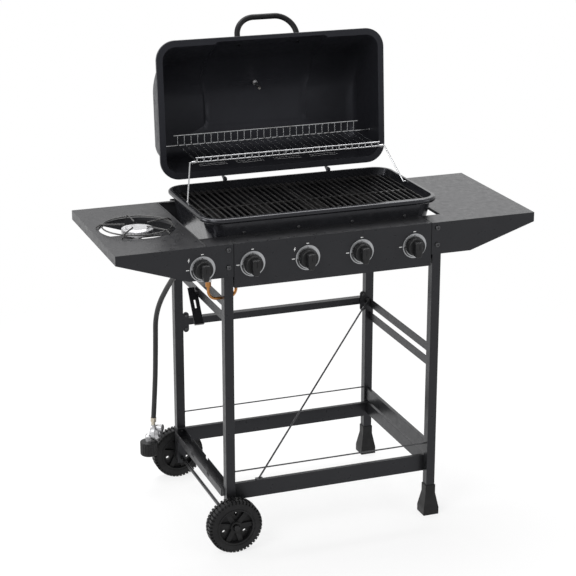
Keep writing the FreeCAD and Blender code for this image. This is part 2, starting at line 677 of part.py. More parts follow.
cup = [box(x_c - cup_half, x_c + cup_half, cup_y - 49, cup_y + 49, cup_z, cup_z + SHEET),
       Part.makeCylinder(38.0, 46.0, V(x_c, cup_y, cup_z - 45), UP),
       box(x_c - 20, x_c + 20, cup_y + 49 - SHEET, cup_y + 49, cup_z - 18, cup_z + SHEET)]
nodes["grease_cup"] = fuse(cup).cut(Part.makeCylinder(37.0, 60.0, V(x_c, cup_y, cup_z - 44), UP))


# Burners, heat plates and grates
def burner(x):
    y0 = wall_y0 - 9
    y1 = in_y1 - 18
    r = BURNER_D / 2
    body = Part.makeCylinder(r, y1 - y0, V(x, y0, burner_z), BACK)
    body = body.cut(Part.makeCylinder(r - BURNER_WALL, y1 - y0 - 4, V(x, y0, burner_z), BACK))
    ports = []
    for i in range(16):
        y = in_y0 + 24 + i * 17.5
        ports.append(box(x - r - 1, x + r + 1, y, y + 3, burner_z + 5, burner_z + 7))
    body = body.cut(Part.makeCompound(ports))
    return body.fuse(rod(V(x, y1 - 1, burner_z), V(x, in_y1, burner_z), 8.0))


nodes["tube_burners"] = Part.makeCompound([burner(x) for x in knob_x])


def heat_plate(x):
    h = PLATE_W / 2
    t = SHEET * 1.2
    pts = [(x - h, PLATE_Z), (x, PLATE_Z + PLATE_RISE), (x + h, PLATE_Z),
           (x + h, PLATE_Z - t), (x, PLATE_Z + PLATE_RISE - t), (x - h, PLATE_Z - t)]
    plate = prism("y", pts, in_y0, in_y1)
    slots = [box(x + s * h * 0.5 - 3, x + s * h * 0.5 + 3, y, y + 26, PLATE_Z - 10, PLATE_Z + PLATE_RISE + 5)
             for s in (-1, 1) for y in [in_y0 + 40 + 60 * k for k in range(5)]]
    return plate.cut(Part.makeCompound(slots))


nodes["heat_plates"] = Part.makeCompound([heat_plate(x) for x in knob_x])


def grate(x0):
    """Rods along Y welded on three flat cross bars that lie on the firebox ledges."""
    width = GRATE_PITCH * (GRATE_RODS - 1)
    bars = [box(x0, x0 + width, y, y + 7, ledge_z, ledge_z + 5)
            for y in (in_y0 + 2, (in_y0 + in_y1) / 2 - 3.5, in_y1 - 9)]
    zc = ledge_z + 5 + GRATE_ROD / 2 - 1.2
    rods = [rod(V(x0 + GRATE_PITCH * i, in_y0 + 2, zc), V(x0 + GRATE_PITCH * i, in_y1 - 2, zc), GRATE_ROD)
            for i in range(GRATE_RODS)]
    clip = tub_block(SHEET + 2.0, ledge_z - 1, ledge_z + 20)
    return fuse(bars + rods).common(clip)


grate_w = GRATE_PITCH * (GRATE_RODS - 1)
nodes["grate_left"] = grate(x_c - grate_w - 5)
nodes["grate_right"] = grate(x_c + 5)

electrodes = []
for x in knob_x:
    e_z = burner_z + 14
    ceramic = rod(V(x + 30, wall_y0 - 22, e_z), V(x + 30, in_y0 + 40, e_z), 7.0)
    collar = Part.makeCylinder(6.5, 2.0, V(x + 30, wall_y0 - 2, e_z), BACK)
    tip = rod(V(x + 30, in_y0 + 39, e_z), V(x + 16.5, in_y0 + 50, e_z + 1), 2.0)
    electrodes.append(fuse([ceramic, collar, tip]))
nodes["igniter_electrodes"] = Part.makeCompound(electrodes)

# Manifold, valves, stems, knobs and bezels
manifold_z = KNOB_Z - VALVE_W / 2 - MANIFOLD_D / 2 + 2
man_x0 = leg_xl - 31.0
man_x1 = knob_x[-1] + 25.0
inlet_x = man_x0
inlet_y = MANIFOLD_Y + MANIFOLD_D / 2 + 25.0
manifold = fuse([rod(V(man_x0, MANIFOLD_Y, manifold_z), V(man_x1, MANIFOLD_Y, manifold_z), MANIFOLD_D),
                 Part.makeSphere(MANIFOLD_D / 2, V(man_x0, MANIFOLD_Y, manifold_z)),
                 rod(V(inlet_x, MANIFOLD_Y, manifold_z), V(inlet_x, inlet_y - 8, manifold_z), 13.0),
                 rod(V(inlet_x, inlet_y - 14, manifold_z), V(inlet_x, inlet_y, manifold_z), 20.0)])


def valve(x, on_pipe):
    """Gas valve body with a bored front boss and a jet towards the burner."""
    h = VALVE_W / 2
    body = fuse([box(x - h, x + h, VALVE_Y0 + 10, VALVE_Y1, KNOB_Z - h, KNOB_Z + h),
                 rod(V(x, VALVE_Y0, KNOB_Z), V(x, VALVE_Y0 + 11, KNOB_Z), 20.0),
                 rod(V(x, VALVE_Y1 - 1, KNOB_Z), V(x, VALVE_Y1 + 14, KNOB_Z), 9.0)])
    body = body.cut(rod(V(x, VALVE_Y0 - 1, KNOB_Z), V(x, VALVE_Y1 - 10, KNOB_Z), STEM_D + 2 * RUN_FIT))
    return body.cut(manifold) if on_pipe else body


loop_in_x = SIDE_KNOB_X + 25.0
loop_out_x = leg_xl + 30.0
loop_y = MANIFOLD_Y - 17.0
arm_half = 7.0
arm_z = KNOB_Z - 46.0
side_valve = fuse([valve(SIDE_KNOB_X, False),
                   box(SIDE_KNOB_X, loop_in_x + arm_half, loop_y - arm_half, loop_y + arm_half,
                       KNOB_Z - 10, KNOB_Z + 8),
                   box(loop_in_x - arm_half, loop_in_x + arm_half, loop_y - arm_half, loop_y + arm_half,
                       arm_z, KNOB_Z + 8)])
side_valve = side_valve.cut(rod(V(SIDE_KNOB_X, VALVE_Y0 - 1, KNOB_Z), V(SIDE_KNOB_X, VALVE_Y1 - 10, KNOB_Z),
                                STEM_D + 2 * RUN_FIT))
panel_valves = [valve(x, True) for x in knob_x]
nodes["gas_valves"] = Part.makeCompound(panel_valves + [side_valve])

loop_low = arm_z - 49.0
outlet = box(loop_out_x - arm_half, loop_out_x + arm_half, loop_y - arm_half, MANIFOLD_Y,
             manifold_z - 6, manifold_z + 6)
outlet = outlet.fuse(box(loop_out_x - arm_half, loop_out_x + arm_half, loop_y - arm_half, loop_y + arm_half,
                         manifold_z - 26, manifold_z + 6))
manifold = manifold.fuse(outlet)
loop_end_z = manifold_z - 26
loop_points = [V(loop_in_x, loop_y, arm_z), V(loop_in_x, loop_y, loop_low),
               V(loop_out_x, loop_y, loop_low), V(loop_out_x, loop_y, loop_end_z)]
loop, loop_wire, loop_radii = tube(loop_points, 8.0)
loop = loop.fuse(Part.makeCylinder(7.5, 14.0, V(loop_in_x, loop_y, arm_z - 14), UP))
nodes["side_supply_tube"] = loop
nodes["gas_manifold"] = manifold

stem_y0 = -KNOB_GAP - 8.0
stem_y1 = VALVE_Y1 - 10 - PUSH - 2
for i, x in enumerate(all_knob_x):
    stem = rod(V(x, stem_y0, KNOB_Z), V(x, stem_y1, KNOB_Z), STEM_D)
    flat = box(x - 5, x + 5, VALVE_Y1 - 18, VALVE_Y1 - 16, KNOB_Z + 2.8, KNOB_Z + 6)
    nodes["valve_stem_%d" % i] = stem.cut(flat)


def knob(x):
    """Round base with a tall grip bar that tapers below the ring."""
    y0 = -KNOB_GAP
    base = Part.makeCone(KNOB_D / 2, KNOB_D / 2 - 2.5, KNOB_BASE_T, V(x, y0, KNOB_Z), FRONT)
    rim = [e for e in base.Edges if abs(e.BoundBox.YMax - (y0 - KNOB_BASE_T)) < 0.01]
    base = base.makeFillet(3.0, rim)
    w = GRIP_W / 2
    low = KNOB_Z - GRIP_DOWN
    pts = [(x - w, KNOB_Z + GRIP_UP), (x + w, KNOB_Z + GRIP_UP), (x + w, KNOB_Z - GRIP_DOWN * 0.3),
           (x + w * 0.6, low), (x - w * 0.6, low), (x - w, KNOB_Z - GRIP_DOWN * 0.3)]
    grip = prism("y", pts, y0 - 3, y0 - KNOB_BASE_T - GRIP_T)
    front = y0 - KNOB_BASE_T - GRIP_T
    edges = [e for e in grip.Edges if abs(e.BoundBox.YMin - front) < 0.01]
    grip = grip.makeFillet(4.0, edges)
    bore = rod(V(x, y0 + 1, KNOB_Z), V(x, stem_y0 - 1, KNOB_Z), STEM_D + 2 * RUN_FIT)
    groove = box(x - 0.9, x + 0.9, front - 1, front + 1.2, KNOB_Z - 2, KNOB_Z + GRIP_UP - 4)
    return base.fuse(grip).cut(Part.makeCompound([bore, groove]))


for i, x in enumerate(all_knob_x):
    nodes["knob_%d" % i] = knob(x)


def bezel(x):
    """Ring plate with a tapering crescent groove in the lower left quarter and a dot at the top."""
    r = BEZEL_D / 2
    ring = Part.makeCylinder(r, BEZEL_T, V(x, 0, KNOB_Z), FRONT)
    ring = ring.cut(Part.makeCylinder(BEZEL_HOLE / 2, BEZEL_T, V(x, 0, KNOB_Z), FRONT))
    depth = BEZEL_T * 0.5
    face = -BEZEL_T + depth
    moon = Part.makeCylinder(r - 2.5, 3, V(x, face, KNOB_Z), FRONT)
    moon = moon.cut(Part.makeCylinder(r - 2.5, 4, V(x + MOON_SHIFT, face + 0.5, KNOB_Z), FRONT))
    moon = moon.common(box(x - r - 1, x, face - 4, face + 1, KNOB_Z - r - 1, KNOB_Z))
    dot = Part.makeCylinder(1.6, 3, V(x, face, KNOB_Z + r - 5.5), FRONT)
    return ring.cut(Part.makeCompound([moon, dot]))


nodes["knob_bezels"] = Part.makeCompound([bezel(x) for x in all_knob_x])

# Side burner: bracket, head with its mixing tube, wire trivet
bar_z = TOP_Z - SKIRT + 2
bracket = box(-SHELF_L_OUT + SHEET, -SHELF_L_IN - SHEET, hob_y - 16, hob_y + 16, bar_z, bar_z + 3)
bracket = bracket.cut(Part.makeCylinder(11 + SLIP, 20, V(hob_x, hob_y, bar_z - 8), UP))
nodes["hob_bracket"] = bracket
head_z = bar_z + 3
mix_hi = V(hob_x, hob_y, bar_z - 14)
mix_lo = V(SIDE_KNOB_X, VALVE_Y1 + 16, KNOB_Z)
mix_dir = mix_lo - mix_hi
mix = rod(mix_hi, mix_lo, 20.0)
hob = fuse([Part.makeCylinder(20.0, 9.0, V(hob_x, hob_y, head_z), UP),
            Part.makeCylinder(HOB_HEAD_D / 2, 12.0, V(hob_x, hob_y, head_z + 8), UP),
            Part.makeCone(HOB_HEAD_D / 2 - 8, HOB_HEAD_D / 2 - 14, 4.0, V(hob_x, hob_y, head_z + 19), UP),
            Part.makeCylinder(11.0, 24.0, V(hob_x, hob_y, bar_z - 20), UP),
            mix])
flame_slots = []
for i in range(28):
    slot = box(hob_x + HOB_HEAD_D / 2 - 6, hob_x + HOB_HEAD_D / 2 + 2, hob_y - 1, hob_y + 1,
               head_z + 13, head_z + 18)
    slot.rotate(V(hob_x, hob_y, 0), UP, 360.0 * i / 28)
    flame_slots.append(slot)
mouth = Part.makeCylinder(7.5, 30.0, mix_lo, mix_hi - mix_lo)
nodes["hob_burner"] = hob.cut(Part.makeCompound(flame_slots + [mouth]))

finger_r0 = HOB_D / 2 + 7
ring_r = HOB_D / 2 - 9
finger_r1 = 34.0
fingers = []
for i in range(5):
    a = math.radians(90 + 72 * i)
    c = V(math.cos(a), math.sin(a), 0)
    hub = V(hob_x, hob_y, 0)
    lift = TOP_Z + WIRE / 2
    p0 = hub + c * finger_r0 + V(0, 0, lift)
    p1 = hub + c * (finger_r0 - 12) + V(0, 0, TRIVET_Z - WIRE / 2)
    p2 = hub + c * finger_r1 + V(0, 0, TRIVET_Z - WIRE / 2)
    fingers += [rod(p0, p1, WIRE), Part.makeSphere(WIRE / 2, p1),
                rod(p1, p2, WIRE), Part.makeSphere(WIRE / 2, p2)]
trivet_ring = Part.makeTorus(ring_r, WIRE / 2, V(hob_x, hob_y, TRIVET_Z - WIRE * 1.3), UP)
trivet = fuse([trivet_ring] + fingers)
floor_cut = box(hob_x - HOB_D, hob_x + HOB_D, hob_y - HOB_D, hob_y + HOB_D, TOP_Z - 10, TOP_Z)
nodes["hob_trivet"] = trivet.cut(floor_cut)

# Lid, drawn closed and swung open about the hinge axis
lid_x0 = RIM_X0 - LID_OVER
lid_x1 = rim_x1 + LID_OVER
lid_y0 = RIM_Y0 - LID_OVER
lid_y1 = rim_y1 + LID_OVER
lid_z0 = RIM_Z + LID_GAP


def inset(z, lean, r, top):
    """Distance the wall has moved in at height z, with a rounded turn into the top."""
    phi = math.radians(lean)
    bend = top - r + r * math.sin(phi)
    if z <= bend:
        return z * math.tan(phi)
    middle = bend * math.tan(phi) + r * math.cos(phi)
    return middle - math.sqrt(max(r * r - (z - top + r) ** 2, 0.0))


def lid_levels(r, top, z_low):
    """Heights for the lid's sections, close together over the arch of the front wall."""
    bend = top - r + r * math.sin(math.radians(LEAN_FRONT))
    return [z_low, bend * 0.5, bend] + [top - r + r * math.sin(math.radians(a))
                                        for a in (35, 41, 47, 53, 59, 65, 71, 77, 83, 90)]


def lid_block(offset, z_low):
    """Lid body set in by an offset, lofted through level rounded rectangles."""
    top = LID_H - offset
    d = LID_RIM + offset
    wires = []
    for z in lid_levels(FRONT_ROUND - offset, top, z_low):
        side = d + inset(z, LEAN_SIDE, SIDE_ROUND - offset, top)
        front = d + inset(z, LEAN_FRONT, FRONT_ROUND - offset, top)
        rear = d + inset(z, LEAN_REAR, REAR_ROUND - offset, top)
        wires.append(rounded(lid_x0 + side, lid_x1 - side, lid_y0 + front, lid_y1 - rear,
                             RIM_R - LID_RIM - offset, lid_z0 + z))
    return Part.makeLoft(wires, True, True)


def bulge_block(offset, z_low):
    """Raised middle panel running up the front wall and over the arch."""
    top = LID_H + BULGE - offset
    r = FRONT_ROUND + BULGE - offset
    half = BULGE_W / 2 - offset
    d = LID_RIM - BULGE + offset
    wires = []
    for z in lid_levels(r, top, z_low):
        side = max(0.0, z - top + 16) * 1.2
        back = BULGE_BACK - max(0.0, z - top + 9) * 2.4
        wires.append(rounded(x_c - half + side, x_c + half - side, lid_y0 + d + inset(z, LEAN_FRONT, r, top),
                             lid_y0 + back, 14.0, lid_z0 + z))
    return Part.makeLoft(wires, True, True)


lid_solid = lid_block(0, 0).fuse(bulge_block(0, 0))
lid_space = lid_block(LID_T, -3).fuse(bulge_block(LID_T, -3))
rim_plate = rounded_block(lid_x0, lid_x1, lid_y0, lid_y1, RIM_R, lid_z0, lid_z0 + LID_T)
lip = rounded_block(lid_x0, lid_x1, lid_y0, lid_y1, RIM_R, lid_z0, lid_z0 + LID_LIP)
lip = lip.cut(rounded_block(lid_x0 + LID_T, lid_x1 - LID_T, lid_y0 + LID_T, lid_y1 - LID_T, RIM_R - LID_T,
                            lid_z0 - 1, lid_z0 + LID_LIP + 1))
lid_hull = lid_solid.multiFuse([rim_plate, lip])
lid = lid_hull.cut(lid_space)

vents = []
vent_z = lid_z0 + 48
for row in range(2):
    for i in range(4):
        xv = x_c - 210 + 112 * i
        vents.append(box(xv, xv + 84, lid_y1 - 70, lid_y1 - 10, vent_z + 14 * row, vent_z + 14 * row + 5))
lid = lid.cut(Part.makeCompound(vents))


def closed_from_open(y, z):
    """Turn an open-lid position back to the closed lid."""
    a = math.radians(LID_OPEN)
    dy = y - hinge_y
    dz = z - hinge_z
    return hinge_y + dy * math.cos(a) - dz * math.sin(a), hinge_z + dy * math.sin(a) + dz * math.cos(a)


pin_y, pin_z = closed_from_open(rack_rear_open.y, rack_rear_open.z)
lid = lid.cut(rod(V(lid_x0 - 5, pin_y, pin_z), V(lid_x1 + 5, pin_y, pin_z), WIRE + 2 * RACK_PIN_CLEAR))

# Handle on the front wall of the lid
lean_f = math.radians(LEAN_FRONT)
wall_n = V(0, -math.cos(lean_f), math.sin(lean_f))
wall_u = V(0, math.sin(lean_f), math.cos(lean_f))
wall_foot = V(x_c, lid_y0 + LID_RIM - BULGE, lid_z0) + wall_u * 34.0
grip_half = HANDLE_W / 2
out_len = HANDLE_OUT - HANDLE_R
left_foot = wall_foot + V(-grip_half, 0, 0)
right_foot = wall_foot + V(grip_half, 0, 0)
q = HANDLE_R * (1 - math.sqrt(0.5))
bend_a = left_foot + wall_n * out_len
bend_b = left_foot + wall_n * HANDLE_OUT + V(HANDLE_R, 0, 0)
bend_c = right_foot + wall_n * HANDLE_OUT - V(HANDLE_R, 0, 0)
bend_d = right_foot + wall_n * out_len
mid_ab = left_foot + wall_n * (HANDLE_OUT - q) + V(q, 0, 0)
mid_cd = right_foot + wall_n * (HANDLE_OUT - q) - V(q, 0, 0)
handle_path = Part.Wire([Part.LineSegment(left_foot, bend_a).toShape(),
                         Part.Arc(bend_a, mid_ab, bend_b).toShape(),
                         Part.LineSegment(bend_b, bend_c).toShape(),
                         Part.Arc(bend_c, mid_cd, bend_d).toShape(),
                         Part.LineSegment(bend_d, right_foot).toShape()])
handle_profile = Part.Wire([Part.Circle(left_foot, wall_n, HANDLE_T / 2).toShape()])
handle = handle_path.makePipeShell([handle_profile], True, False)
for at in (left_foot, right_foot):
    handle = handle.fuse(Part.makeCone(HANDLE_T * 0.8, HANDLE_T * 0.55, 6.0, at, wall_n))
grip_ends = [Part.makeTorus(HANDLE_T / 2, 0.8, p, RIGHT) for p in (bend_b, bend_c)]
handle = handle.cut(Part.makeCompound(grip_ends)).cut(lid_hull)
lid_inner_foot = wall_n * (-LID_T * math.cos(lean_f))
handle_screws = []
for at in (left_foot, right_foot):
    lid = lid.cut(Part.makeCylinder(2.5, 20, at - wall_n * 10, wall_n))
    handle_screws.append(screw_head(at + lid_inner_foot, wall_n * -1, 9.0, 3.0))

# Thermometer on the arch of the raised panel
arch_r = FRONT_ROUND + BULGE
arch_h = LID_H - FRONT_ROUND
arch_s = LID_RIM - BULGE + (arch_h + arch_r * math.sin(lean_f)) * math.tan(lean_f) + arch_r * math.cos(lean_f)
gauge_tilt = math.asin((arch_s - GAUGE_BACK) / arch_r)
gauge_at = V(x_c, lid_y0 + GAUGE_BACK, lid_z0 + arch_h + arch_r * math.cos(gauge_tilt))
gauge_up = V(0, -math.sin(gauge_tilt), math.cos(gauge_tilt))
case = fuse([Part.makeCylinder(30.0, 15.0, gauge_at - gauge_up * 6, gauge_up),
             Part.makeCone(30.0, 27.5, 3.0, gauge_at + gauge_up * 9, gauge_up)])
case = case.cut(lid_hull)
lid = lid.cut(Part.makeCylinder(4.0 + RUN_FIT, 40, gauge_at - gauge_up * 20, gauge_up))
gauge = case.fuse(rod(gauge_at - gauge_up * 48, gauge_at + gauge_up, 8.0))
gauge = gauge.cut(Part.makeCylinder(25.5, 3.0, gauge_at + gauge_up * 10, gauge_up))
needle = box(x_c - 0.9, x_c + 0.9, gauge_at.y - 19, gauge_at.y + 5, gauge_at.z + 9.5, gauge_at.z + 11)
needle.rotate(gauge_at, RIGHT, math.degrees(gauge_tilt))
gauge = gauge.fuse(needle)
hex_pts = [(x_c + 8 * math.cos(math.radians(60 * k)), gauge_at.y + 8 * math.sin(math.radians(60 * k)))
           for k in range(6)]
nut_top = gauge_at.z - LID_T - SLIP
gauge_nut = prism("z", hex_pts, nut_top - 6, nut_top)
gauge_nut.rotate(gauge_at, RIGHT, math.degrees(gauge_tilt))
gauge_nut = gauge_nut.cut(rod(gauge_at - gauge_up * 20, gauge_at + gauge_up, 8.0))

# Hinges
base_plates = []
lid_plates = []
for x in (x_c - HINGE_HALF, x_c + HINGE_HALF):
    pts = [(wall_y1, rim_z0 - 55), (wall_y1, rim_z0 - 3),
           (hinge_y - 6.5, rim_z0 - 3), (hinge_y - 6.5, hinge_z),
           (hinge_y + 6.5, hinge_z), (hinge_y + 6.5, rim_z0 - 20), (wall_y1 + 10, rim_z0 - 55)]
    plate = fuse([prism("x", pts, x, x + HINGE_T),
                  Part.makeCylinder(6.5, HINGE_T, V(x, hinge_y, hinge_z), RIGHT),
                  box(x - 14, x + HINGE_T, wall_y1, wall_y1 + 2, rim_z0 - 55, rim_z0 - 3),
                  rod(V(x - 1.5, hinge_y, hinge_z), V(x + 2 * HINGE_T + 1.5, hinge_y, hinge_z), HINGE_PIN_D),
                  Part.makeCylinder(4.8, 1.8, V(x + 2 * HINGE_T + 1.2, hinge_y, hinge_z), RIGHT)])
    base_plates.append(plate)
    x2 = x + HINGE_T + 0.4
    arm = [(hinge_y - 6.5, hinge_z), (hinge_y + 7, hinge_z),
           (hinge_y + 7, hinge_z + 14), (lid_y1 - 16, hinge_z + 56),
           (lid_y1 - 60, hinge_z + 56), (lid_y1 - 40, hinge_z + LID_LIP + 3),
           (hinge_y - 6.5, hinge_z + LID_LIP + 3)]
    wing = fuse([prism("x", arm, x2, x2 + HINGE_T),
                 Part.makeCylinder(7.0, HINGE_T, V(x2, hinge_y, hinge_z), RIGHT)])
    wing = wing.cut(rod(V(x2 - 1, hinge_y, hinge_z), V(x2 + HINGE_T + 1, hinge_y, hinge_z),
                        HINGE_PIN_D + 2 * RUN_FIT))
    wing = wing.cut(box(x2 - 1, x2 + HINGE_T + 1, lid_y1 - 20, lid_y1 + 0.4,
                        lid_z0 - 1, lid_z0 + LID_LIP + 0.4))
    lid_plates.append(wing.cut(lid_hull))
nodes["hinge_brackets"] = Part.makeCompound(base_plates)

swing = {"lid": lid, "lid_handle": handle, "lid_fasteners": Part.makeCompound(handle_screws + [gauge_nut]),
         "thermometer": gauge, "lid_hinge_arms": Part.makeCompound(lid_plates)}
for name, shape in swing.items():
    shape.rotate(V(0, hinge_y, hinge_z), RIGHT, -LID_OPEN)
    nodes[name] = shape

# Warming rack and its legs
eye_x0 = wall_x0 + SHEET + LEG_SPLAY + 6.0
eye_len = 12.0
front_y = rack_front_open.y
front_z = rack_front_open.z
rear_y = rack_rear_open.y
rear_z = rack_rear_open.z


def rack_leg():
    """Wire leg with a pivot end in the firebox rim and a pivot end in the rack's eye."""
    foot_bend = V(pin_in + 5, base_y, base_z)
    top_bend = V(eye_x0 - 4, front_y, front_z)
    return fuse([rod(V(pin_tip, base_y, base_z), foot_bend, WIRE), Part.makeSphere(WIRE / 2, foot_bend),
                 rod(foot_bend, top_bend, WIRE), Part.makeSphere(WIRE / 2, top_bend),
                 rod(top_bend, V(eye_x0 + eye_len - 3, front_y, front_z), WIRE)])


left_leg = rack_leg()
nodes["rack_legs"] = Part.makeCompound([left_leg, mirror_x(left_leg)])

eye = Part.makeCylinder(4.5, eye_len, V(eye_x0, front_y, front_z), RIGHT)
eye = eye.cut(rod(V(eye_x0 - 1, front_y, front_z), V(eye_x0 + eye_len - 2, front_y, front_z),
                  WIRE + 2 * RUN_FIT))
rack_x0 = eye_x0 + eye_len
rack_x1 = 2 * x_c - rack_x0
lid_wall_x = lid_x0 + LID_RIM + (pin_z - lid_z0) * math.tan(math.radians(LEAN_SIDE))
rack = [eye, mirror_x(eye),
        rod(V(rack_x0 - 1, front_y, front_z), V(rack_x1 + 1, front_y, front_z), WIRE),
        rod(V(lid_wall_x - 3, rear_y, rear_z), V(2 * x_c - lid_wall_x + 3, rear_y, rear_z), WIRE),
        rod(V(rack_x0, front_y - 2, front_z + RACK_FRONT_H),
            V(rack_x1, front_y - 2, front_z + RACK_FRONT_H), WIRE),
        rod(V(rack_x0 - 8, rear_y + 2, rear_z + RACK_BACK_H),
            V(rack_x1 + 8, rear_y + 2, rear_z + RACK_BACK_H), WIRE)]
wires = int((rack_x1 - rack_x0) // RACK_WIRE_PITCH)
step = (rack_x1 - rack_x0 - 8) / wires
for i in range(wires + 1):
    x = rack_x0 + 4 + step * i
    a = V(x, rear_y + 2, rear_z + RACK_BACK_H)
    b = V(x, rear_y + 2, rear_z + 2.4)
    c = V(x, front_y - 2, front_z + 2.4)
    d = V(x, front_y - 2, front_z + RACK_FRONT_H)
    for p, r in ((a, b), (b, c), (c, d)):
        rack.append(rod(p, r, FLOOR_WIRE))
    rack.append(Part.makeSphere(FLOOR_WIRE / 2, b))
    rack.append(Part.makeSphere(FLOOR_WIRE / 2, c))
nodes["warming_rack"] = fuse(rack)

# Gas hose, its ferrule, the regulator and the bottle coupling
hose_y = SHELF_D - 2.0
hose_points = [V(inlet_x, inlet_y, manifold_z),
               V(inlet_x, inlet_y + 68, manifold_z),
               V(HOSE_DROP + 28, inlet_y + 165, manifold_z - 46),
               V(HOSE_DROP + 17, hose_y - 105, manifold_z - 124),
               V(HOSE_DROP - 2, hose_y - 20, 545.0),
               V(HOSE_DROP + 1, hose_y - 2, 440.0),
               V(HOSE_DROP - 2, hose_y, 325.0),
               V(HOSE_DROP - 10, hose_y, 214.0)]
hose, hose_wire, hose_radii = tube(hose_points, HOSE_D)
nodes["gas_hose"] = hose
hose_end = hose_points[-1]
end_dir = hose_points[-1] - hose_points[-2]
end_dir.normalize()
nodes["hose_ferrule"] = fuse([Part.makeCylinder(HOSE_D / 2 + 1.2, 13.0, hose_end, end_dir),
                              Part.makeCylinder(HOSE_D / 2 - 1.5, 22.0, hose_end, end_dir)])
reg_top = hose_end + end_dir * 22.0
reg_in = reg_top + end_dir * 8.0
reg_c = V(HOSE_DROP - 5, hose_y - 2, 167.0)
reg_axis = V(0.72, -0.62, 0.1)
reg_axis.normalize()
coupling_top = V(HOSE_DROP - 26, hose_y, 142.0)
neck_top = coupling_top + V(0, 0, 14)
reg_body = fuse([Part.makeCylinder(23.0, 10.0, reg_c - reg_axis * 5, reg_axis),
                 Part.makeCone(21.0, 15.0, 8.0, reg_c + reg_axis * 5, reg_axis),
                 Part.makeCone(21.0, 17.0, 7.0, reg_c - reg_axis * 5, reg_axis * -1),
                 Part.makeCylinder(6.0, 4.0, reg_c + reg_axis * 12.5, reg_axis),
                 Part.makeCylinder(10.5, 15.0, reg_c + V(11, -8, 16) - reg_axis * 7, reg_axis),
                 rod(reg_top, reg_in, 13.0),
                 Part.makeSphere(7.2, reg_in),
                 rod(reg_in, reg_c, 11.0),
                 rod(coupling_top, neck_top, 19.0),
                 Part.makeSphere(10.6, neck_top),
                 rod(neck_top, reg_c, 16.0)])
nodes["gas_regulator"] = reg_body
coupling = Part.makeCylinder(COUPLING_R, COUPLING_H, coupling_top - V(0, 0, COUPLING_H), UP)
coupling = round_bottom(coupling, 6.0, coupling_top.z - COUPLING_H)
coupling = coupling.makeFillet(2.5, [e for e in coupling.Edges if e.BoundBox.ZMin > coupling_top.z - 0.01])
flutes = []
for i in range(20):
    flute = Part.makeCylinder(2.2, COUPLING_H, coupling_top + V(COUPLING_R + 0.8, 0, -COUPLING_H - 1), UP)
    flute.rotate(coupling_top, UP, 18.0 * i)
    flutes.append(flute)
coupling = coupling.cut(Part.makeCompound(flutes))
coupling = coupling.cut(Part.makeCylinder(14.0, 24.0, coupling_top - V(0, 0, COUPLING_H + 1), UP))
nodes["bottle_coupling"] = coupling

# Centre everything over the middle of the fixed outline and export
CORD_NODES = ("gas_hose", "hose_ferrule", "gas_regulator", "bottle_coupling")
spread = FreeCAD.BoundBox()
for name, shape in nodes.items():
    if name not in CORD_NODES:
        spread.add(shape.optimalBoundingBox(False, False))
shift = V(-spread.Center.x, -spread.Center.y, 0)
for name, shape in nodes.items():
    shape.translate(shift)
    shape.exportStep("parts/%s.step" % name)


def spot(label, p):
    q = p + shift
    print("POINT %s %.4f %.4f %.4f" % (label, q.x, q.y, q.z))


spot("lid_hinge", V(x_c, hinge_y, hinge_z))
spot("rack_base", V(x_c, base_y, base_z))
spot("rack_front", V(x_c, front_y, front_z))
spot("rack_rear", V(x_c, rear_y, rear_z))
spot("axle", V(leg_xl, leg_yf, axle_z))
spot("axle_rear", V(leg_xl, leg_yr, axle_z))
for i, x in enumerate(all_knob_x):
    spot("knob_%d" % i, V(x, -KNOB_GAP, KNOB_Z))
spot("hook", hook_pivot)
spot("gauge", gauge_at)
print("GAUGE tilt", round(math.degrees(gauge_tilt), 4))
spot("cup", V(x_c, cup_y, cup_z))
for i, p in enumerate(hose_points):
    spot("hose_%d" % i, p)
print("HOSE radii", [round(r, 1) for r in hose_radii], "length", round(hose_wire.Length, 1),
      "volume ratio", round(hose.Volume / (math.pi * HOSE_D ** 2 / 4 * hose_wire.Length), 4))
print("LOOP radii", [round(r, 1) for r in loop_radii], "length", round(loop_wire.Length, 1))
print("SHIFT", shift)
print("BOX", spread)
for name, shape in sorted(nodes.items()):
    b = shape.BoundBox
    print("NODE %-22s solids %d valid %s vol %.0f  x %.1f %.1f y %.1f %.1f z %.1f %.1f" % (
        name, len(shape.Solids), shape.isValid(), shape.Volume,
        b.XMin, b.XMax, b.YMin, b.YMax, b.ZMin, b.ZMax))
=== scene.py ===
import json
import math

import bmesh
import bpy
from mathutils import Matrix, Vector


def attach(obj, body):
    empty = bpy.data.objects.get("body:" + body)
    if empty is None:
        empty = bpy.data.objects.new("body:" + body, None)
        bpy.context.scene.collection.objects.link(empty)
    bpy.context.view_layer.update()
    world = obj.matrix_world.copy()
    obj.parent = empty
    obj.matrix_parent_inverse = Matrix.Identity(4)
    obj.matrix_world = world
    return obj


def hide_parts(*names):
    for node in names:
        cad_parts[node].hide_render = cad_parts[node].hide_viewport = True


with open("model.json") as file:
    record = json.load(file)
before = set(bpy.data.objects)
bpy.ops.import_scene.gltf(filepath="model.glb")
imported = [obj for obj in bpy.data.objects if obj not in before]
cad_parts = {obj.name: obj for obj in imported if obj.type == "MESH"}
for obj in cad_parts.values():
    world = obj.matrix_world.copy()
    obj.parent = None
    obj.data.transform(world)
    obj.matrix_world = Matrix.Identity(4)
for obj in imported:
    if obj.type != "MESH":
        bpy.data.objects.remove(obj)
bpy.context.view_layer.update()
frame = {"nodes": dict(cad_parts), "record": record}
nodes = frame["nodes"]
scene = bpy.context.scene

# Camera of the photograph, in the grill's frame
EYE = Vector((-1.6419, -4.3855, 2.1568))
TARGET = Vector((-0.0383, -0.0624, 0.6358))
LENS = 109.5
SENSOR = 36.0
CLIP_END = 100.0


def link(obj):
    scene.collection.objects.link(obj)
    return obj


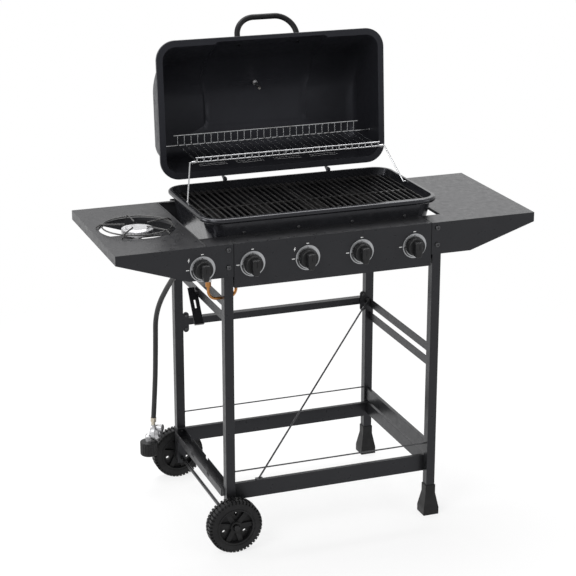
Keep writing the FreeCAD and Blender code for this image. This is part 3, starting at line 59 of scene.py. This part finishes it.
def make_camera():
    data = bpy.data.cameras.new("camera")
    data.lens = LENS
    data.sensor_width = SENSOR
    data.sensor_fit = "HORIZONTAL"
    data.clip_end = CLIP_END
    cam = link(bpy.data.objects.new("camera", data))
    cam.location = EYE
    cam.rotation_euler = (TARGET - EYE).to_track_quat("-Z", "Y").to_euler()
    scene.camera = cam


make_camera()


# Materials
# Sockets of the colour mix node
MIX_FACTOR = 0
MIX_COLOURS = (6, 7)
MIX_RESULT = 2
# Ranges of noise and of direction, and what they stand for on a surface
WHOLE = (0.0, 1.0)
MIDDLE = (0.3, 0.7)
UPWARD = (0.7, 1.0)
SPECKS = (0.6, 0.78)
DUSTY = (0.35, 0.75)
DRAWN = (0.25, 0.75)
STAINED = (0.5, 0.75)
RUBBED = (0.42, 0.7)
SMEARED = (0.4, 0.8)
# Noise frequencies, per metre
PATCH_SCALE = 11.0
DUST_SCALE = 37.0
GLOSS_SCALE = 63.0
TARNISH_SCALE = 23.0
RUB_SCALE = 31.0
SMEAR_SCALE = 90.0
# Heights of the finest relief, in metres
COAT_GRAIN_DEPTH = 0.0003
METAL_LINE_DEPTH = 0.0002
MOULD_GRAIN_DEPTH = 0.0003
# Colours that several surfaces share
WHITE_TINT = (1.0, 1.0, 1.0)
COOL_TINT = (0.92, 0.93, 1.0)
COLDER_TINT = (0.88, 0.9, 1.0)
DUST_COLOUR = (0.22, 0.21, 0.2)
TARNISH = (0.2, 0.19, 0.18)
# Near black, for black print and for the handle screws high in the lid
NEAR_BLACK = (0.012, 0.012, 0.013)
STAIN_SHARE = 0.7
LENS_CLEAR = (0.96, 0.97, 0.97)
LENS_SMEAR = (0.9, 0.92, 0.92)
LENS_ROUGH = (0.02, 0.09)
LENS_IOR = 1.46
SCREW_SPLIT_Z = 1.22
SPLIT_BLUR = 0.001


class Surface:
    """A principled material whose colour, roughness and relief come from layered noise in the grill's frame."""

    def __init__(self, name):
        self.mat = bpy.data.materials.new(name)
        self.mat.use_nodes = True
        self.tree = self.mat.node_tree
        self.bsdf = self.tree.nodes["Principled BSDF"]
        self.coord = self.tree.nodes.new("ShaderNodeTexCoord")

    def new(self, kind, **values):
        node = self.tree.nodes.new(kind)
        for key, value in values.items():
            if key in node.inputs:
                node.inputs[key].default_value = value
            else:
                setattr(node, key, value)
        return node

    def wire(self, a, b):
        self.tree.links.new(a, b)

    def fix(self, socket, value):
        """Sets a value that is the same all over the surface."""
        self.bsdf.inputs[socket].default_value = value

    def noise(self, scale, detail=3.0, rough=0.55, stretch=None):
        tex = self.new("ShaderNodeTexNoise", Scale=scale, Detail=detail, Roughness=rough)
        if stretch is None:
            self.wire(self.coord.outputs["Object"], tex.inputs["Vector"])
        else:
            mapping = self.new("ShaderNodeMapping", Scale=stretch)
            self.wire(self.coord.outputs["Object"], mapping.inputs["Vector"])
            self.wire(mapping.outputs["Vector"], tex.inputs["Vector"])
        return tex.outputs["Fac"]

    def spread(self, value, source, target):
        """Maps one range of a value onto another, and holds it at the ends."""
        node = self.new("ShaderNodeMapRange")
        for socket, limit in zip(("From Min", "From Max", "To Min", "To Max"), source + target):
            node.inputs[socket].default_value = limit
        self.wire(value, node.inputs["Value"])
        return node.outputs["Result"]

    def blend(self, factor, a, b):
        """Mixes two colours, each a tuple or a socket."""
        node = self.new("ShaderNodeMix", data_type="RGBA")
        for index, value in zip(MIX_COLOURS, (a, b)):
            if isinstance(value, tuple):
                node.inputs[index].default_value = (*value, 1.0)
            else:
                self.wire(value, node.inputs[index])
        self.wire(factor, node.inputs[MIX_FACTOR])
        return node.outputs[MIX_RESULT]

    def colour(self, socket):
        self.wire(socket, self.bsdf.inputs["Base Color"])

    def rough(self, socket):
        self.wire(socket, self.bsdf.inputs["Roughness"])

    def relief(self, socket, strength, distance):
        bump = self.new("ShaderNodeBump", Strength=strength, Distance=distance)
        self.wire(socket, bump.inputs["Height"])
        self.wire(bump.outputs["Normal"], self.bsdf.inputs["Normal"])

    def height_of(self, vector):
        """The upward part of a place or a direction."""
        parts = self.new("ShaderNodeSeparateXYZ")
        self.wire(vector, parts.inputs["Vector"])
        return parts.outputs["Z"]

    def up_facing(self):
        """Share of a surface that faces up, for settled dust."""
        geometry = self.new("ShaderNodeNewGeometry")
        return self.spread(self.height_of(geometry.outputs["Normal"]), UPWARD, WHOLE)

    def times(self, a, b):
        node = self.new("ShaderNodeMath", operation="MULTIPLY")
        self.wire(a, node.inputs[0])
        self.wire(b, node.inputs[1])
        return node.outputs[0]


def even(frequency):
    """Noise stretch that is the same in all directions."""
    return (frequency, frequency, frequency)


def coated(name, dark, light, rough, grain, bump, spec=0.5, dust=0.0, tint=WHITE_TINT, speck_share=0.5):
    """Painted or powder-coated metal: fine grain, soft patches and a little dust on top."""
    s = Surface(name)
    patches = s.noise(PATCH_SCALE, detail=4.0)
    fine = s.noise(grain, detail=2.0, rough=0.6)
    base = s.blend(s.spread(patches, MIDDLE, WHOLE), dark, light)
    speck = tuple(min(1.0, c * 2.2 + 0.01) for c in light)
    base = s.blend(s.spread(fine, SPECKS, (0.0, speck_share)), base, speck)
    if dust:
        settled = s.spread(s.noise(DUST_SCALE, detail=5.0), DUSTY, (0.0, dust))
        base = s.blend(s.times(s.up_facing(), settled), base, DUST_COLOUR)
    s.colour(base)
    s.rough(s.spread(s.noise(GLOSS_SCALE), MIDDLE, (rough - 0.06, rough + 0.07)))
    s.relief(fine, bump, COAT_GRAIN_DEPTH)
    s.fix("Specular IOR Level", spec)
    s.fix("Specular Tint", (*tint, 1.0))
    return s.mat


def metal_surface(name, dark, light, rough, stretch, bump, stain=None):
    """Bare metal with drawn lines along one direction and uneven tarnish."""
    s = Surface(name)
    lines = s.noise(1.0, rough=0.6, stretch=stretch)
    patches = s.noise(TARNISH_SCALE, detail=4.0)
    base = s.blend(s.spread(lines, DRAWN, WHOLE), dark, light)
    if stain:
        base = s.blend(s.spread(patches, STAINED, (0.0, STAIN_SHARE)), base, stain)
    s.colour(base)
    s.rough(s.spread(patches, MIDDLE, (rough - 0.05, rough + 0.1)))
    s.relief(lines, bump, METAL_LINE_DEPTH)
    s.fix("Metallic", 1.0)
    return s, base


def metal(*args, **options):
    return metal_surface(*args, **options)[0].mat


def moulded(name, dark, light, rough, grain, bump, spec=0.5):
    """Moulded plastic, rubber or ink with a fine grain and paler rubbed patches."""
    s = Surface(name)
    fine = s.noise(grain, rough=0.6)
    rubbed = s.noise(RUB_SCALE, detail=5.0, rough=0.6)
    s.colour(s.blend(s.spread(rubbed, RUBBED, WHOLE), dark, light))
    s.rough(s.spread(rubbed, MIDDLE, (rough + 0.06, rough - 0.06)))
    s.relief(fine, bump, MOULD_GRAIN_DEPTH)
    s.fix("Specular IOR Level", spec)
    return s.mat


def glass(name):
    """Clear lens with faint smears."""
    s = Surface(name)
    smear = s.noise(SMEAR_SCALE, detail=4.0)
    s.colour(s.blend(smear, LENS_CLEAR, LENS_SMEAR))
    s.rough(s.spread(smear, SMEARED, LENS_ROUGH))
    s.fix("Transmission Weight", 1.0)
    s.fix("IOR", LENS_IOR)
    return s.mat


def fastener_finish(name, split):
    """Bright thermometer nut low in the lid, handle screws above the split height coloured near black."""
    s, bright = metal_surface(name, (0.34, 0.34, 0.35), (0.56, 0.56, 0.57), rough=0.3, stretch=even(300.0),
                              bump=0.1, stain=(0.22, 0.21, 0.2))
    height = s.height_of(s.coord.outputs["Object"])
    black = s.spread(height, (split - SPLIT_BLUR, split + SPLIT_BLUR), WHOLE)
    s.colour(s.blend(black, bright, NEAR_BLACK))
    return s.mat


POWDER = coated("powder_coat", (0.0085, 0.0086, 0.0094), (0.0115, 0.0116, 0.0125), rough=0.32, grain=620.0,
                bump=0.03, spec=0.3, dust=0.03, tint=COOL_TINT, speck_share=0.15)
ENAMEL = coated("enamel", (0.0115, 0.0118, 0.0145), (0.0142, 0.0146, 0.0178), rough=0.38, grain=900.0,
                bump=0.012, spec=0.18, dust=0.01, tint=COLDER_TINT, speck_share=0.1)
TUB = coated("tub_enamel", (0.0068, 0.007, 0.0084), (0.0095, 0.0097, 0.0115), rough=0.19, grain=700.0,
             bump=0.01, spec=0.4, dust=0.01, tint=COOL_TINT, speck_share=0.1)
PORCELAIN = coated("porcelain", (0.006, 0.006, 0.006), (0.014, 0.013, 0.013), rough=0.34, grain=650.0,
                   bump=0.2, spec=0.55)
CHROME = metal("chrome_wire", (0.36, 0.365, 0.375), (0.54, 0.545, 0.555), rough=0.2, stretch=even(160.0),
               bump=0.05, stain=TARNISH)
STEEL = metal("steel", (0.3, 0.3, 0.31), (0.52, 0.52, 0.53), rough=0.32, stretch=(40.0, 900.0, 900.0),
              bump=0.12, stain=TARNISH)
DARK_STEEL = metal("dark_steel", (0.05, 0.05, 0.052), (0.1, 0.1, 0.105), rough=0.38, stretch=even(500.0),
                   bump=0.15)
STAINLESS = metal("stainless", (0.4, 0.39, 0.38), (0.6, 0.6, 0.6), rough=0.26, stretch=(900.0, 30.0, 900.0),
                  bump=0.1, stain=(0.3, 0.24, 0.17))
BEZEL = metal("bezel_silver", (0.3, 0.305, 0.315), (0.42, 0.425, 0.435), rough=0.36, stretch=(700.0, 60.0, 60.0),
              bump=0.05)
BRASS = metal("brass", (0.3, 0.13, 0.04), (0.46, 0.22, 0.075), rough=0.32, stretch=even(300.0), bump=0.1,
              stain=(0.2, 0.09, 0.035))
ZINC = metal("zinc", (0.36, 0.36, 0.37), (0.58, 0.58, 0.59), rough=0.36, stretch=even(420.0), bump=0.3,
             stain=(0.24, 0.24, 0.24))
FERRULE = metal("pale_brass", (0.4, 0.35, 0.27), (0.62, 0.58, 0.5), rough=0.28, stretch=even(300.0), bump=0.1,
                stain=(0.34, 0.27, 0.17))
AXLE = metal("black_steel", (0.06, 0.06, 0.063), (0.16, 0.16, 0.165), rough=0.24, stretch=(900.0, 40.0, 900.0),
             bump=0.1)
HANDLE = moulded("handle_plastic", (0.0055, 0.0055, 0.0062), (0.0105, 0.0105, 0.0115), rough=0.5, grain=1300.0,
                 bump=0.12, spec=0.14)
KNOB = moulded("black_plastic", (0.006, 0.006, 0.0066), (0.012, 0.012, 0.013), rough=0.42, grain=1300.0,
               bump=0.12, spec=0.28)
WHEEL = moulded("wheel_plastic", (0.0055, 0.0055, 0.006), (0.012, 0.012, 0.0125), rough=0.44, grain=900.0,
                bump=0.16, spec=0.22)
RUBBER = moulded("hose_rubber", (0.005, 0.005, 0.0052), (0.011, 0.011, 0.0115), rough=0.42, grain=700.0,
                 bump=0.14, spec=0.4)
CERAMIC = moulded("ceramic_white", (0.7, 0.69, 0.65), (0.82, 0.81, 0.78), rough=0.25, grain=500.0, bump=0.05)
INK = moulded("ink_black", NEAR_BLACK, (0.02, 0.02, 0.021), rough=0.5, grain=1200.0, bump=0.05)
MARK = moulded("ink_white", (0.62, 0.62, 0.62), (0.74, 0.74, 0.74), rough=0.5, grain=1200.0, bump=0.05)
GLASS = glass("lens_glass")
FASTENER = fastener_finish("lid_fastener", SCREW_SPLIT_Z)

BY_SLOT = {"powder_coat": POWDER, "enamel": ENAMEL, "chrome_wire": CHROME, "steel": STEEL, "dark_steel": DARK_STEEL,
           "stainless": STAINLESS, "porcelain": PORCELAIN, "black_plastic": KNOB, "bezel_silver": BEZEL,
           "brass": BRASS, "zinc": ZINC, "hose_rubber": RUBBER, "wheel_plastic": WHEEL, "ceramic_white": CERAMIC}
BY_NODE = {"lid_fasteners": FASTENER, "hose_ferrule": FERRULE, "axle": AXLE, "lid_handle": HANDLE, "firebox": TUB}
slot_of = {row["node"]: row["material_slot"] for row in frame["record"]["subparts"]}
for name, obj in nodes.items():
    obj.data.materials.clear()
    obj.data.materials.append(BY_NODE.get(name, BY_SLOT[slot_of[name]]))

# Rolled and pressed edges: the drawn corners are broken by a small radius that catches the light
SMOOTH_ANGLE = 32.0
EDGE_ANGLE = 50.0
EDGE_SEGMENTS = 2
WELD_DISTANCE = 0.00001
EDGE_RADIUS = {"lid": 0.0007,
               "leg_front_left": 0.0006, "leg_front_right": 0.0006, "leg_rear_left": 0.0006, "leg_rear_right": 0.0006,
               "lower_rails": 0.0005, "lower_bars_right": 0.0005, "upper_bars_right": 0.0005,
               "upper_bars_left": 0.0005, "lower_channel_left": 0.0005, "leg_feet": 0.0012, "bottle_hook": 0.0004}


def shading_group():
    """Node group that drops the stored normals and shades faces smooth up to a set angle between them."""
    group = bpy.data.node_groups.new("smooth_by_angle", "GeometryNodeTree")
    for way in ("INPUT", "OUTPUT"):
        group.interface.new_socket("Geometry", in_out=way, socket_type="NodeSocketGeometry")
    make = group.nodes.new
    start, end = make("NodeGroupInput"), make("NodeGroupOutput")
    plain = make("GeometryNodeRemoveAttribute")
    plain.inputs["Name"].default_value = "custom_normal"
    smooth, sharp = make("GeometryNodeSetShadeSmooth"), make("GeometryNodeSetShadeSmooth")
    smooth.domain = "FACE"
    sharp.domain = "EDGE"
    sharp.inputs["Shade Smooth"].default_value = False
    angle = make("GeometryNodeInputMeshEdgeAngle")
    over = make("FunctionNodeCompare")
    over.operation = "GREATER_THAN"
    over.inputs["B"].default_value = math.radians(SMOOTH_ANGLE)
    group.links.new(angle.outputs["Unsigned Angle"], over.inputs["A"])
    group.links.new(over.outputs["Result"], sharp.inputs["Selection"])
    chain = [start, plain, smooth, sharp, end]
    for a, b in zip(chain, chain[1:]):
        group.links.new(a.outputs["Geometry"], b.inputs["Geometry"])
    return group


smooth_group = shading_group()
for name, radius in EDGE_RADIUS.items():
    modifiers = nodes[name].modifiers
    modifiers.new("weld", "WELD").merge_threshold = WELD_DISTANCE
    modifiers.new("shading", "NODES").node_group = smooth_group
    edge = modifiers.new("edge", "BEVEL")
    edge.width = radius
    edge.segments = EDGE_SEGMENTS
    edge.limit_method = "ANGLE"
    edge.angle_limit = math.radians(EDGE_ANGLE)
    edge.use_clamp_overlap = True
    edge.harden_normals = True


def place(obj, body, material):
    obj.data.materials.append(material)
    link(obj)
    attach(obj, body)
    return obj


# Gas hose: the route of the tube, as one smooth spline
HOSE_D = 0.0145
HOSE_ROUTE = [(-0.321, -0.21839, 0.779), (-0.321, -0.15039, 0.779), (-0.3355, -0.05339, 0.733),
              (-0.3465, 0.04711, 0.655), (-0.3655, 0.13211, 0.545), (-0.3625, 0.15011, 0.44),
              (-0.3655, 0.15211, 0.325), (-0.3735, 0.15211, 0.214)]
HOSE_ROUND_STEPS = 8
HOSE_ALONG_STEPS = 24
curve = bpy.data.curves.new("gas_hose_cord", "CURVE")
curve.dimensions = "3D"
curve.bevel_depth = HOSE_D / 2
curve.bevel_resolution = HOSE_ROUND_STEPS
curve.resolution_u = HOSE_ALONG_STEPS
curve.use_fill_caps = True
spline = curve.splines.new("NURBS")
spline.points.add(len(HOSE_ROUTE) - 1)
for point, at in zip(spline.points, HOSE_ROUTE):
    point.co = (*at, 1.0)
spline.order_u = 3
spline.use_endpoint_u = True
hose = place(bpy.data.objects.new("gas_hose_cord", curve), "cart", RUBBER)
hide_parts("gas_hose")


# Printed and inlaid marks
CORNER_STEPS = 4


def slab(bm, outline, low, high):
    """Closed plate with the given outline between two heights of its own frame."""
    rings = [[bm.verts.new((u, v, w)) for u, v in outline] for w in (low, high)]
    bm.faces.new(list(reversed(rings[0])))
    bm.faces.new(rings[1])
    count = len(outline)
    for i in range(count):
        j = (i + 1) % count
        bm.faces.new((rings[0][i], rings[0][j], rings[1][j], rings[1][i]))


def arc(radius, start, end, steps, centre=(0.0, 0.0)):
    """Points on a circle from one angle to another, in degrees."""
    angles = [math.radians(start + (end - start) * i / steps) for i in range(steps + 1)]
    return [(centre[0] + radius * math.cos(a), centre[1] + radius * math.sin(a)) for a in angles]


def ring(radius, count, centre=(0.0, 0.0)):
    """Points all round a circle."""
    return arc(radius, 0, 360 - 360 / count, count - 1, centre)


def bar(u, v, wide, tall, r):
    """Rounded bar centred on a point."""
    corners = []
    for cu, cv, a in ((1, 1, 0), (-1, 1, 90), (-1, -1, 180), (1, -1, 270)):
        centre = (u + cu * (wide / 2 - r), v + cv * (tall / 2 - r))
        corners += arc(r, a, a + 90, CORNER_STEPS, centre)
    return corners


def marks(name, body, material, matrix, draw):
    """One piece drawn flat by a function and set in its place by a matrix."""
    bm = bmesh.new()
    draw(bm)
    bmesh.ops.transform(bm, matrix=matrix, verts=bm.verts)
    bmesh.ops.recalc_face_normals(bm, faces=bm.faces)
    mesh = bpy.data.meshes.new(name)
    bm.to_mesh(mesh)
    bm.free()
    place(bpy.data.objects.new(name, mesh), body, material)


PANEL_Y = -0.30239
KNOB_Z = 0.798
KNOB_X = (-0.3605, -0.2245, -0.072, 0.0805, 0.233)
RING_T = 0.0012
INLAY_LOW = RING_T * 0.5
INLAY_HIGH = RING_T * 0.9
MOON_R = 0.0315
MOON_SHIFT = 0.0045
MOON_ARC = (180, 262)
MOON_STEPS = 20
DOT_R = 0.0015
DOT_UP = 0.0285
DOT_SIDES = 24
INK_T = 0.0001
TICK_TALL = 0.0022
TICK_ROUND = 0.0006
TOP_TICK_UP = 0.0388
TOP_TICK_WIDE = 0.0072
SIDE_TICK_LEFT = -0.0402
SIDE_TICK_WIDE = 0.0088
SPARK_KNOBS = (0, 2)
SPARK_AT = (-0.0365, 0.0255)
SPARK_MM = ((0.6, 6.0), (-3.0, -0.8), (-0.5, -0.8), (-1.6, -6.0), (2.8, 1.2), (0.3, 1.2), (2.2, 6.0))


def panel_face(x):
    """Frame on the panel's front: right, up and out of the panel."""
    return Matrix(((1, 0, 0, x), (0, 0, -1, PANEL_Y), (0, 1, 0, KNOB_Z), (0, 0, 0, 1)))


def inlay(bm):
    """Dark sickle and dot in a bezel's ring."""
    start, end = MOON_ARC
    outer = arc(MOON_R, start, end, MOON_STEPS)
    inner = arc(MOON_R, end, start, MOON_STEPS, (MOON_SHIFT, 0))
    slab(bm, outer + inner, INLAY_LOW, INLAY_HIGH)
    slab(bm, ring(DOT_R, DOT_SIDES, (0, DOT_UP)), INLAY_LOW, INLAY_HIGH)


def ticks(bm):
    """Printed bars above and left of a knob."""
    slab(bm, bar(0, TOP_TICK_UP, TOP_TICK_WIDE, TICK_TALL, TICK_ROUND), 0.0, INK_T)
    slab(bm, bar(SIDE_TICK_LEFT, 0, SIDE_TICK_WIDE, TICK_TALL, TICK_ROUND), 0.0, INK_T)


def ticks_and_spark(bm):
    """The same bars with the igniter's spark."""
    ticks(bm)
    slab(bm, [(SPARK_AT[0] + u / 1000, SPARK_AT[1] + v / 1000) for u, v in SPARK_MM], 0.0, INK_T)


for index, x in enumerate(KNOB_X):
    printed = ticks_and_spark if index in SPARK_KNOBS else ticks
    marks("bezel_inlay_%d" % index, "cart", INK, panel_face(x), inlay)
    marks("panel_marks_%d" % index, "cart", MARK, panel_face(x), printed)

# Thermometer dial, drawn on the closed lid and swung open with it
HINGE = Vector((0.004, 0.15161, 0.905))
OPEN = math.radians(-94)
GAUGE = Vector((0.004, -0.09289, 1.07076))
GAUGE_TILT = math.radians(16.969)
DIAL_SEAT = 0.010
DIAL_R = 0.0252
DIAL_SIDES = 72
DIAL_LOW = 0.00002
DIAL_TOP = 0.0004
SCALE_START = 225
SCALE_SWEEP = 270
SCALE_STEPS = 32
LONG_EVERY = 4
LONG_TICK = (0.0196, 0.0004)
SHORT_TICK = (0.0212, 0.00022)
TICK_OUTER = 0.0232
TICK_TOP = 0.0005
NUMBER_STEPS = 8
NUMBER_STEP = 50
NUMBER_SIZE = 0.0048
NUMBER_R = 0.0163
NUMBER_HALF_T = 0.00005
NUMBER_CURVE_STEPS = 3
LENS_RINGS = ((0.0253, 0.0014), (0.0253, 0.0018), (0.019, 0.00215), (0.012, 0.00235), (0.005, 0.00245))
LENS_SIDES = 64
swing = Matrix.Translation(HINGE) @ Matrix.Rotation(OPEN, 4, "X") @ Matrix.Translation(-HINGE)
dial_frame = (swing @ Matrix.Translation(GAUGE) @ Matrix.Rotation(GAUGE_TILT, 4, "X")
              @ Matrix.Translation((0, 0, DIAL_SEAT)))


def scale_angle(step, steps):
    return math.radians(SCALE_START - SCALE_SWEEP * step / steps)


def dial_plate(bm):
    slab(bm, ring(DIAL_R, DIAL_SIDES), DIAL_LOW, DIAL_TOP)


def add_number(bm, text, angle):
    """A number of the scale, upright on the dial."""
    data = bpy.data.curves.new("number", "FONT")
    data.body = text
    data.size = NUMBER_SIZE
    data.align_x = "CENTER"
    data.align_y = "CENTER"
    data.extrude = NUMBER_HALF_T
    data.resolution_u = NUMBER_CURVE_STEPS
    holder = bpy.data.objects.new("number", data)
    flat = bpy.data.meshes.new_from_object(holder)
    at = (NUMBER_R * math.cos(angle), NUMBER_R * math.sin(angle), DIAL_TOP + NUMBER_HALF_T)
    flat.transform(Matrix.Translation(at))
    bm.from_mesh(flat)
    bpy.data.meshes.remove(flat)
    bpy.data.objects.remove(holder)
    bpy.data.curves.remove(data)


def dial_ticks(bm):
    for step in range(SCALE_STEPS + 1):
        a = scale_angle(step, SCALE_STEPS)
        inner, half = LONG_TICK if step % LONG_EVERY == 0 else SHORT_TICK
        along, across = (math.cos(a), math.sin(a)), (-math.sin(a), math.cos(a))
        ends = [(inner, -half), (TICK_OUTER, -half), (TICK_OUTER, half), (inner, half)]
        outline = [(r * along[0] + s * across[0], r * along[1] + s * across[1]) for r, s in ends]
        slab(bm, outline, DIAL_TOP, TICK_TOP)
    for step in range(NUMBER_STEPS + 1):
        add_number(bm, str(NUMBER_STEP * step), scale_angle(step, NUMBER_STEPS))


def dial_lens(bm):
    turns = [2 * math.pi * i / LENS_SIDES for i in range(LENS_SIDES)]
    rows = [[bm.verts.new((r * math.cos(a), r * math.sin(a), w)) for a in turns] for r, w in LENS_RINGS]
    for low, high in zip(rows, rows[1:]):
        for i in range(LENS_SIDES):
            j = (i + 1) % LENS_SIDES
            bm.faces.new((low[i], low[j], high[j], high[i]))
    bm.faces.new(list(reversed(rows[0])))
    bm.faces.new(rows[-1])


marks("gauge_dial", "lid_body", CERAMIC, dial_frame, dial_plate)
marks("gauge_marks", "lid_body", INK, dial_frame, dial_ticks)
marks("gauge_lens", "lid_body", GLASS, dial_frame, dial_lens)

# Studio: white floor and surround, soft light from above and from the left
FLOOR_HALF = 40.0
FLOOR_GREY = 0.86
SHADOW_NEAR = 0.7
SHADOW_FAR = 1.9
GLOW_NEAR = 0.78
SURROUND_LIGHT = 0.5
WHITE_LEVEL = 1.0


def seen_directly(tree):
    """1 for what the camera sees, straight or in a mirror or glass, and 0 for what lights the grill."""
    path = tree.nodes.new("ShaderNodeLightPath")
    total = path.outputs["Is Camera Ray"]
    for ray in ("Is Glossy Ray", "Is Transmission Ray"):
        node = tree.nodes.new("ShaderNodeMath")
        node.operation = "MAXIMUM"
        tree.links.new(total, node.inputs[0])
        tree.links.new(path.outputs[ray], node.inputs[1])
        total = node.outputs[0]
    return total


def mix_to_output(tree, kind, share, a, b):
    """Mixes two shaders by a share and sends them to the output."""
    out = tree.nodes.new(kind)
    mix = tree.nodes.new("ShaderNodeMixShader")
    tree.links.new(share, mix.inputs[0])
    tree.links.new(a.outputs[0], mix.inputs[1])
    tree.links.new(b.outputs[0], mix.inputs[2])
    tree.links.new(mix.outputs[0], out.inputs["Surface"])


def make_floor():
    """White floor that takes the shadow near the grill and runs out to plain white."""
    mesh = bpy.data.meshes.new("floor")
    h = FLOOR_HALF
    mesh.from_pydata([(-h, -h, 0), (h, -h, 0), (h, h, 0), (-h, h, 0)], [], [(0, 1, 2, 3)])
    floor = link(bpy.data.objects.new("floor", mesh))
    mat = bpy.data.materials.new("floor")
    mat.use_nodes = True
    tree = mat.node_tree
    tree.nodes.clear()
    diffuse = tree.nodes.new("ShaderNodeBsdfDiffuse")
    diffuse.inputs["Color"].default_value = (FLOOR_GREY, FLOOR_GREY, FLOOR_GREY, 1)
    glow = tree.nodes.new("ShaderNodeEmission")
    glow.inputs["Strength"].default_value = WHITE_LEVEL
    coord = tree.nodes.new("ShaderNodeTexCoord")
    far = tree.nodes.new("ShaderNodeVectorMath")
    far.operation = "LENGTH"
    ramp = tree.nodes.new("ShaderNodeMapRange")
    ramp.interpolation_type = "SMOOTHSTEP"
    limits = {"From Min": SHADOW_NEAR, "From Max": SHADOW_FAR, "To Min": GLOW_NEAR, "To Max": 1.0}
    for socket, value in limits.items():
        ramp.inputs[socket].default_value = value
    share = tree.nodes.new("ShaderNodeMath")
    share.operation = "MULTIPLY"
    tree.links.new(coord.outputs["Object"], far.inputs[0])
    tree.links.new(far.outputs["Value"], ramp.inputs["Value"])
    tree.links.new(seen_directly(tree), share.inputs[0])
    tree.links.new(ramp.outputs["Result"], share.inputs[1])
    mix_to_output(tree, "ShaderNodeOutputMaterial", share.outputs[0], diffuse, glow)
    mesh.materials.append(mat)


def make_world():
    world = bpy.data.worlds.new("studio")
    scene.world = world
    world.use_nodes = True
    tree = world.node_tree
    tree.nodes.clear()
    soft = tree.nodes.new("ShaderNodeBackground")
    soft.inputs["Strength"].default_value = SURROUND_LIGHT
    white = tree.nodes.new("ShaderNodeBackground")
    white.inputs["Strength"].default_value = WHITE_LEVEL
    mix_to_output(tree, "ShaderNodeOutputWorld", seen_directly(tree), soft, white)


def area_light(name, at, aim, size, watts):
    data = bpy.data.lights.new(name, "AREA")
    data.shape = "RECTANGLE"
    data.size, data.size_y = size
    data.energy = watts
    lamp = link(bpy.data.objects.new(name, data))
    lamp.location = at
    lamp.rotation_euler = (Vector(aim) - Vector(at)).to_track_quat("-Z", "Y").to_euler()


make_floor()
make_world()
area_light("key", at=(-3.2, -2.2, 3.6), aim=(0, 0, 0.7), size=(2.2, 2.2), watts=120.0)
area_light("left", at=(-3.8, 0.9, 1.5), aim=(0, 0, 0.6), size=(1.8, 2.4), watts=80.0)
area_light("top", at=(0.3, 1.4, 3.6), aim=(0, 0, 0.8), size=(3.0, 2.4), watts=150.0)
area_light("rear_right", at=(2.1, 2.6, 1.9), aim=(0.45, 0, 0.86), size=(1.6, 1.4), watts=3.5)
area_light("fill", at=(3.4, -3.0, 2.0), aim=(0, 0, 0.6), size=(2.4, 2.0), watts=40.0)
scene.view_settings.view_transform = "Standard"

bpy.context.view_layer.update()
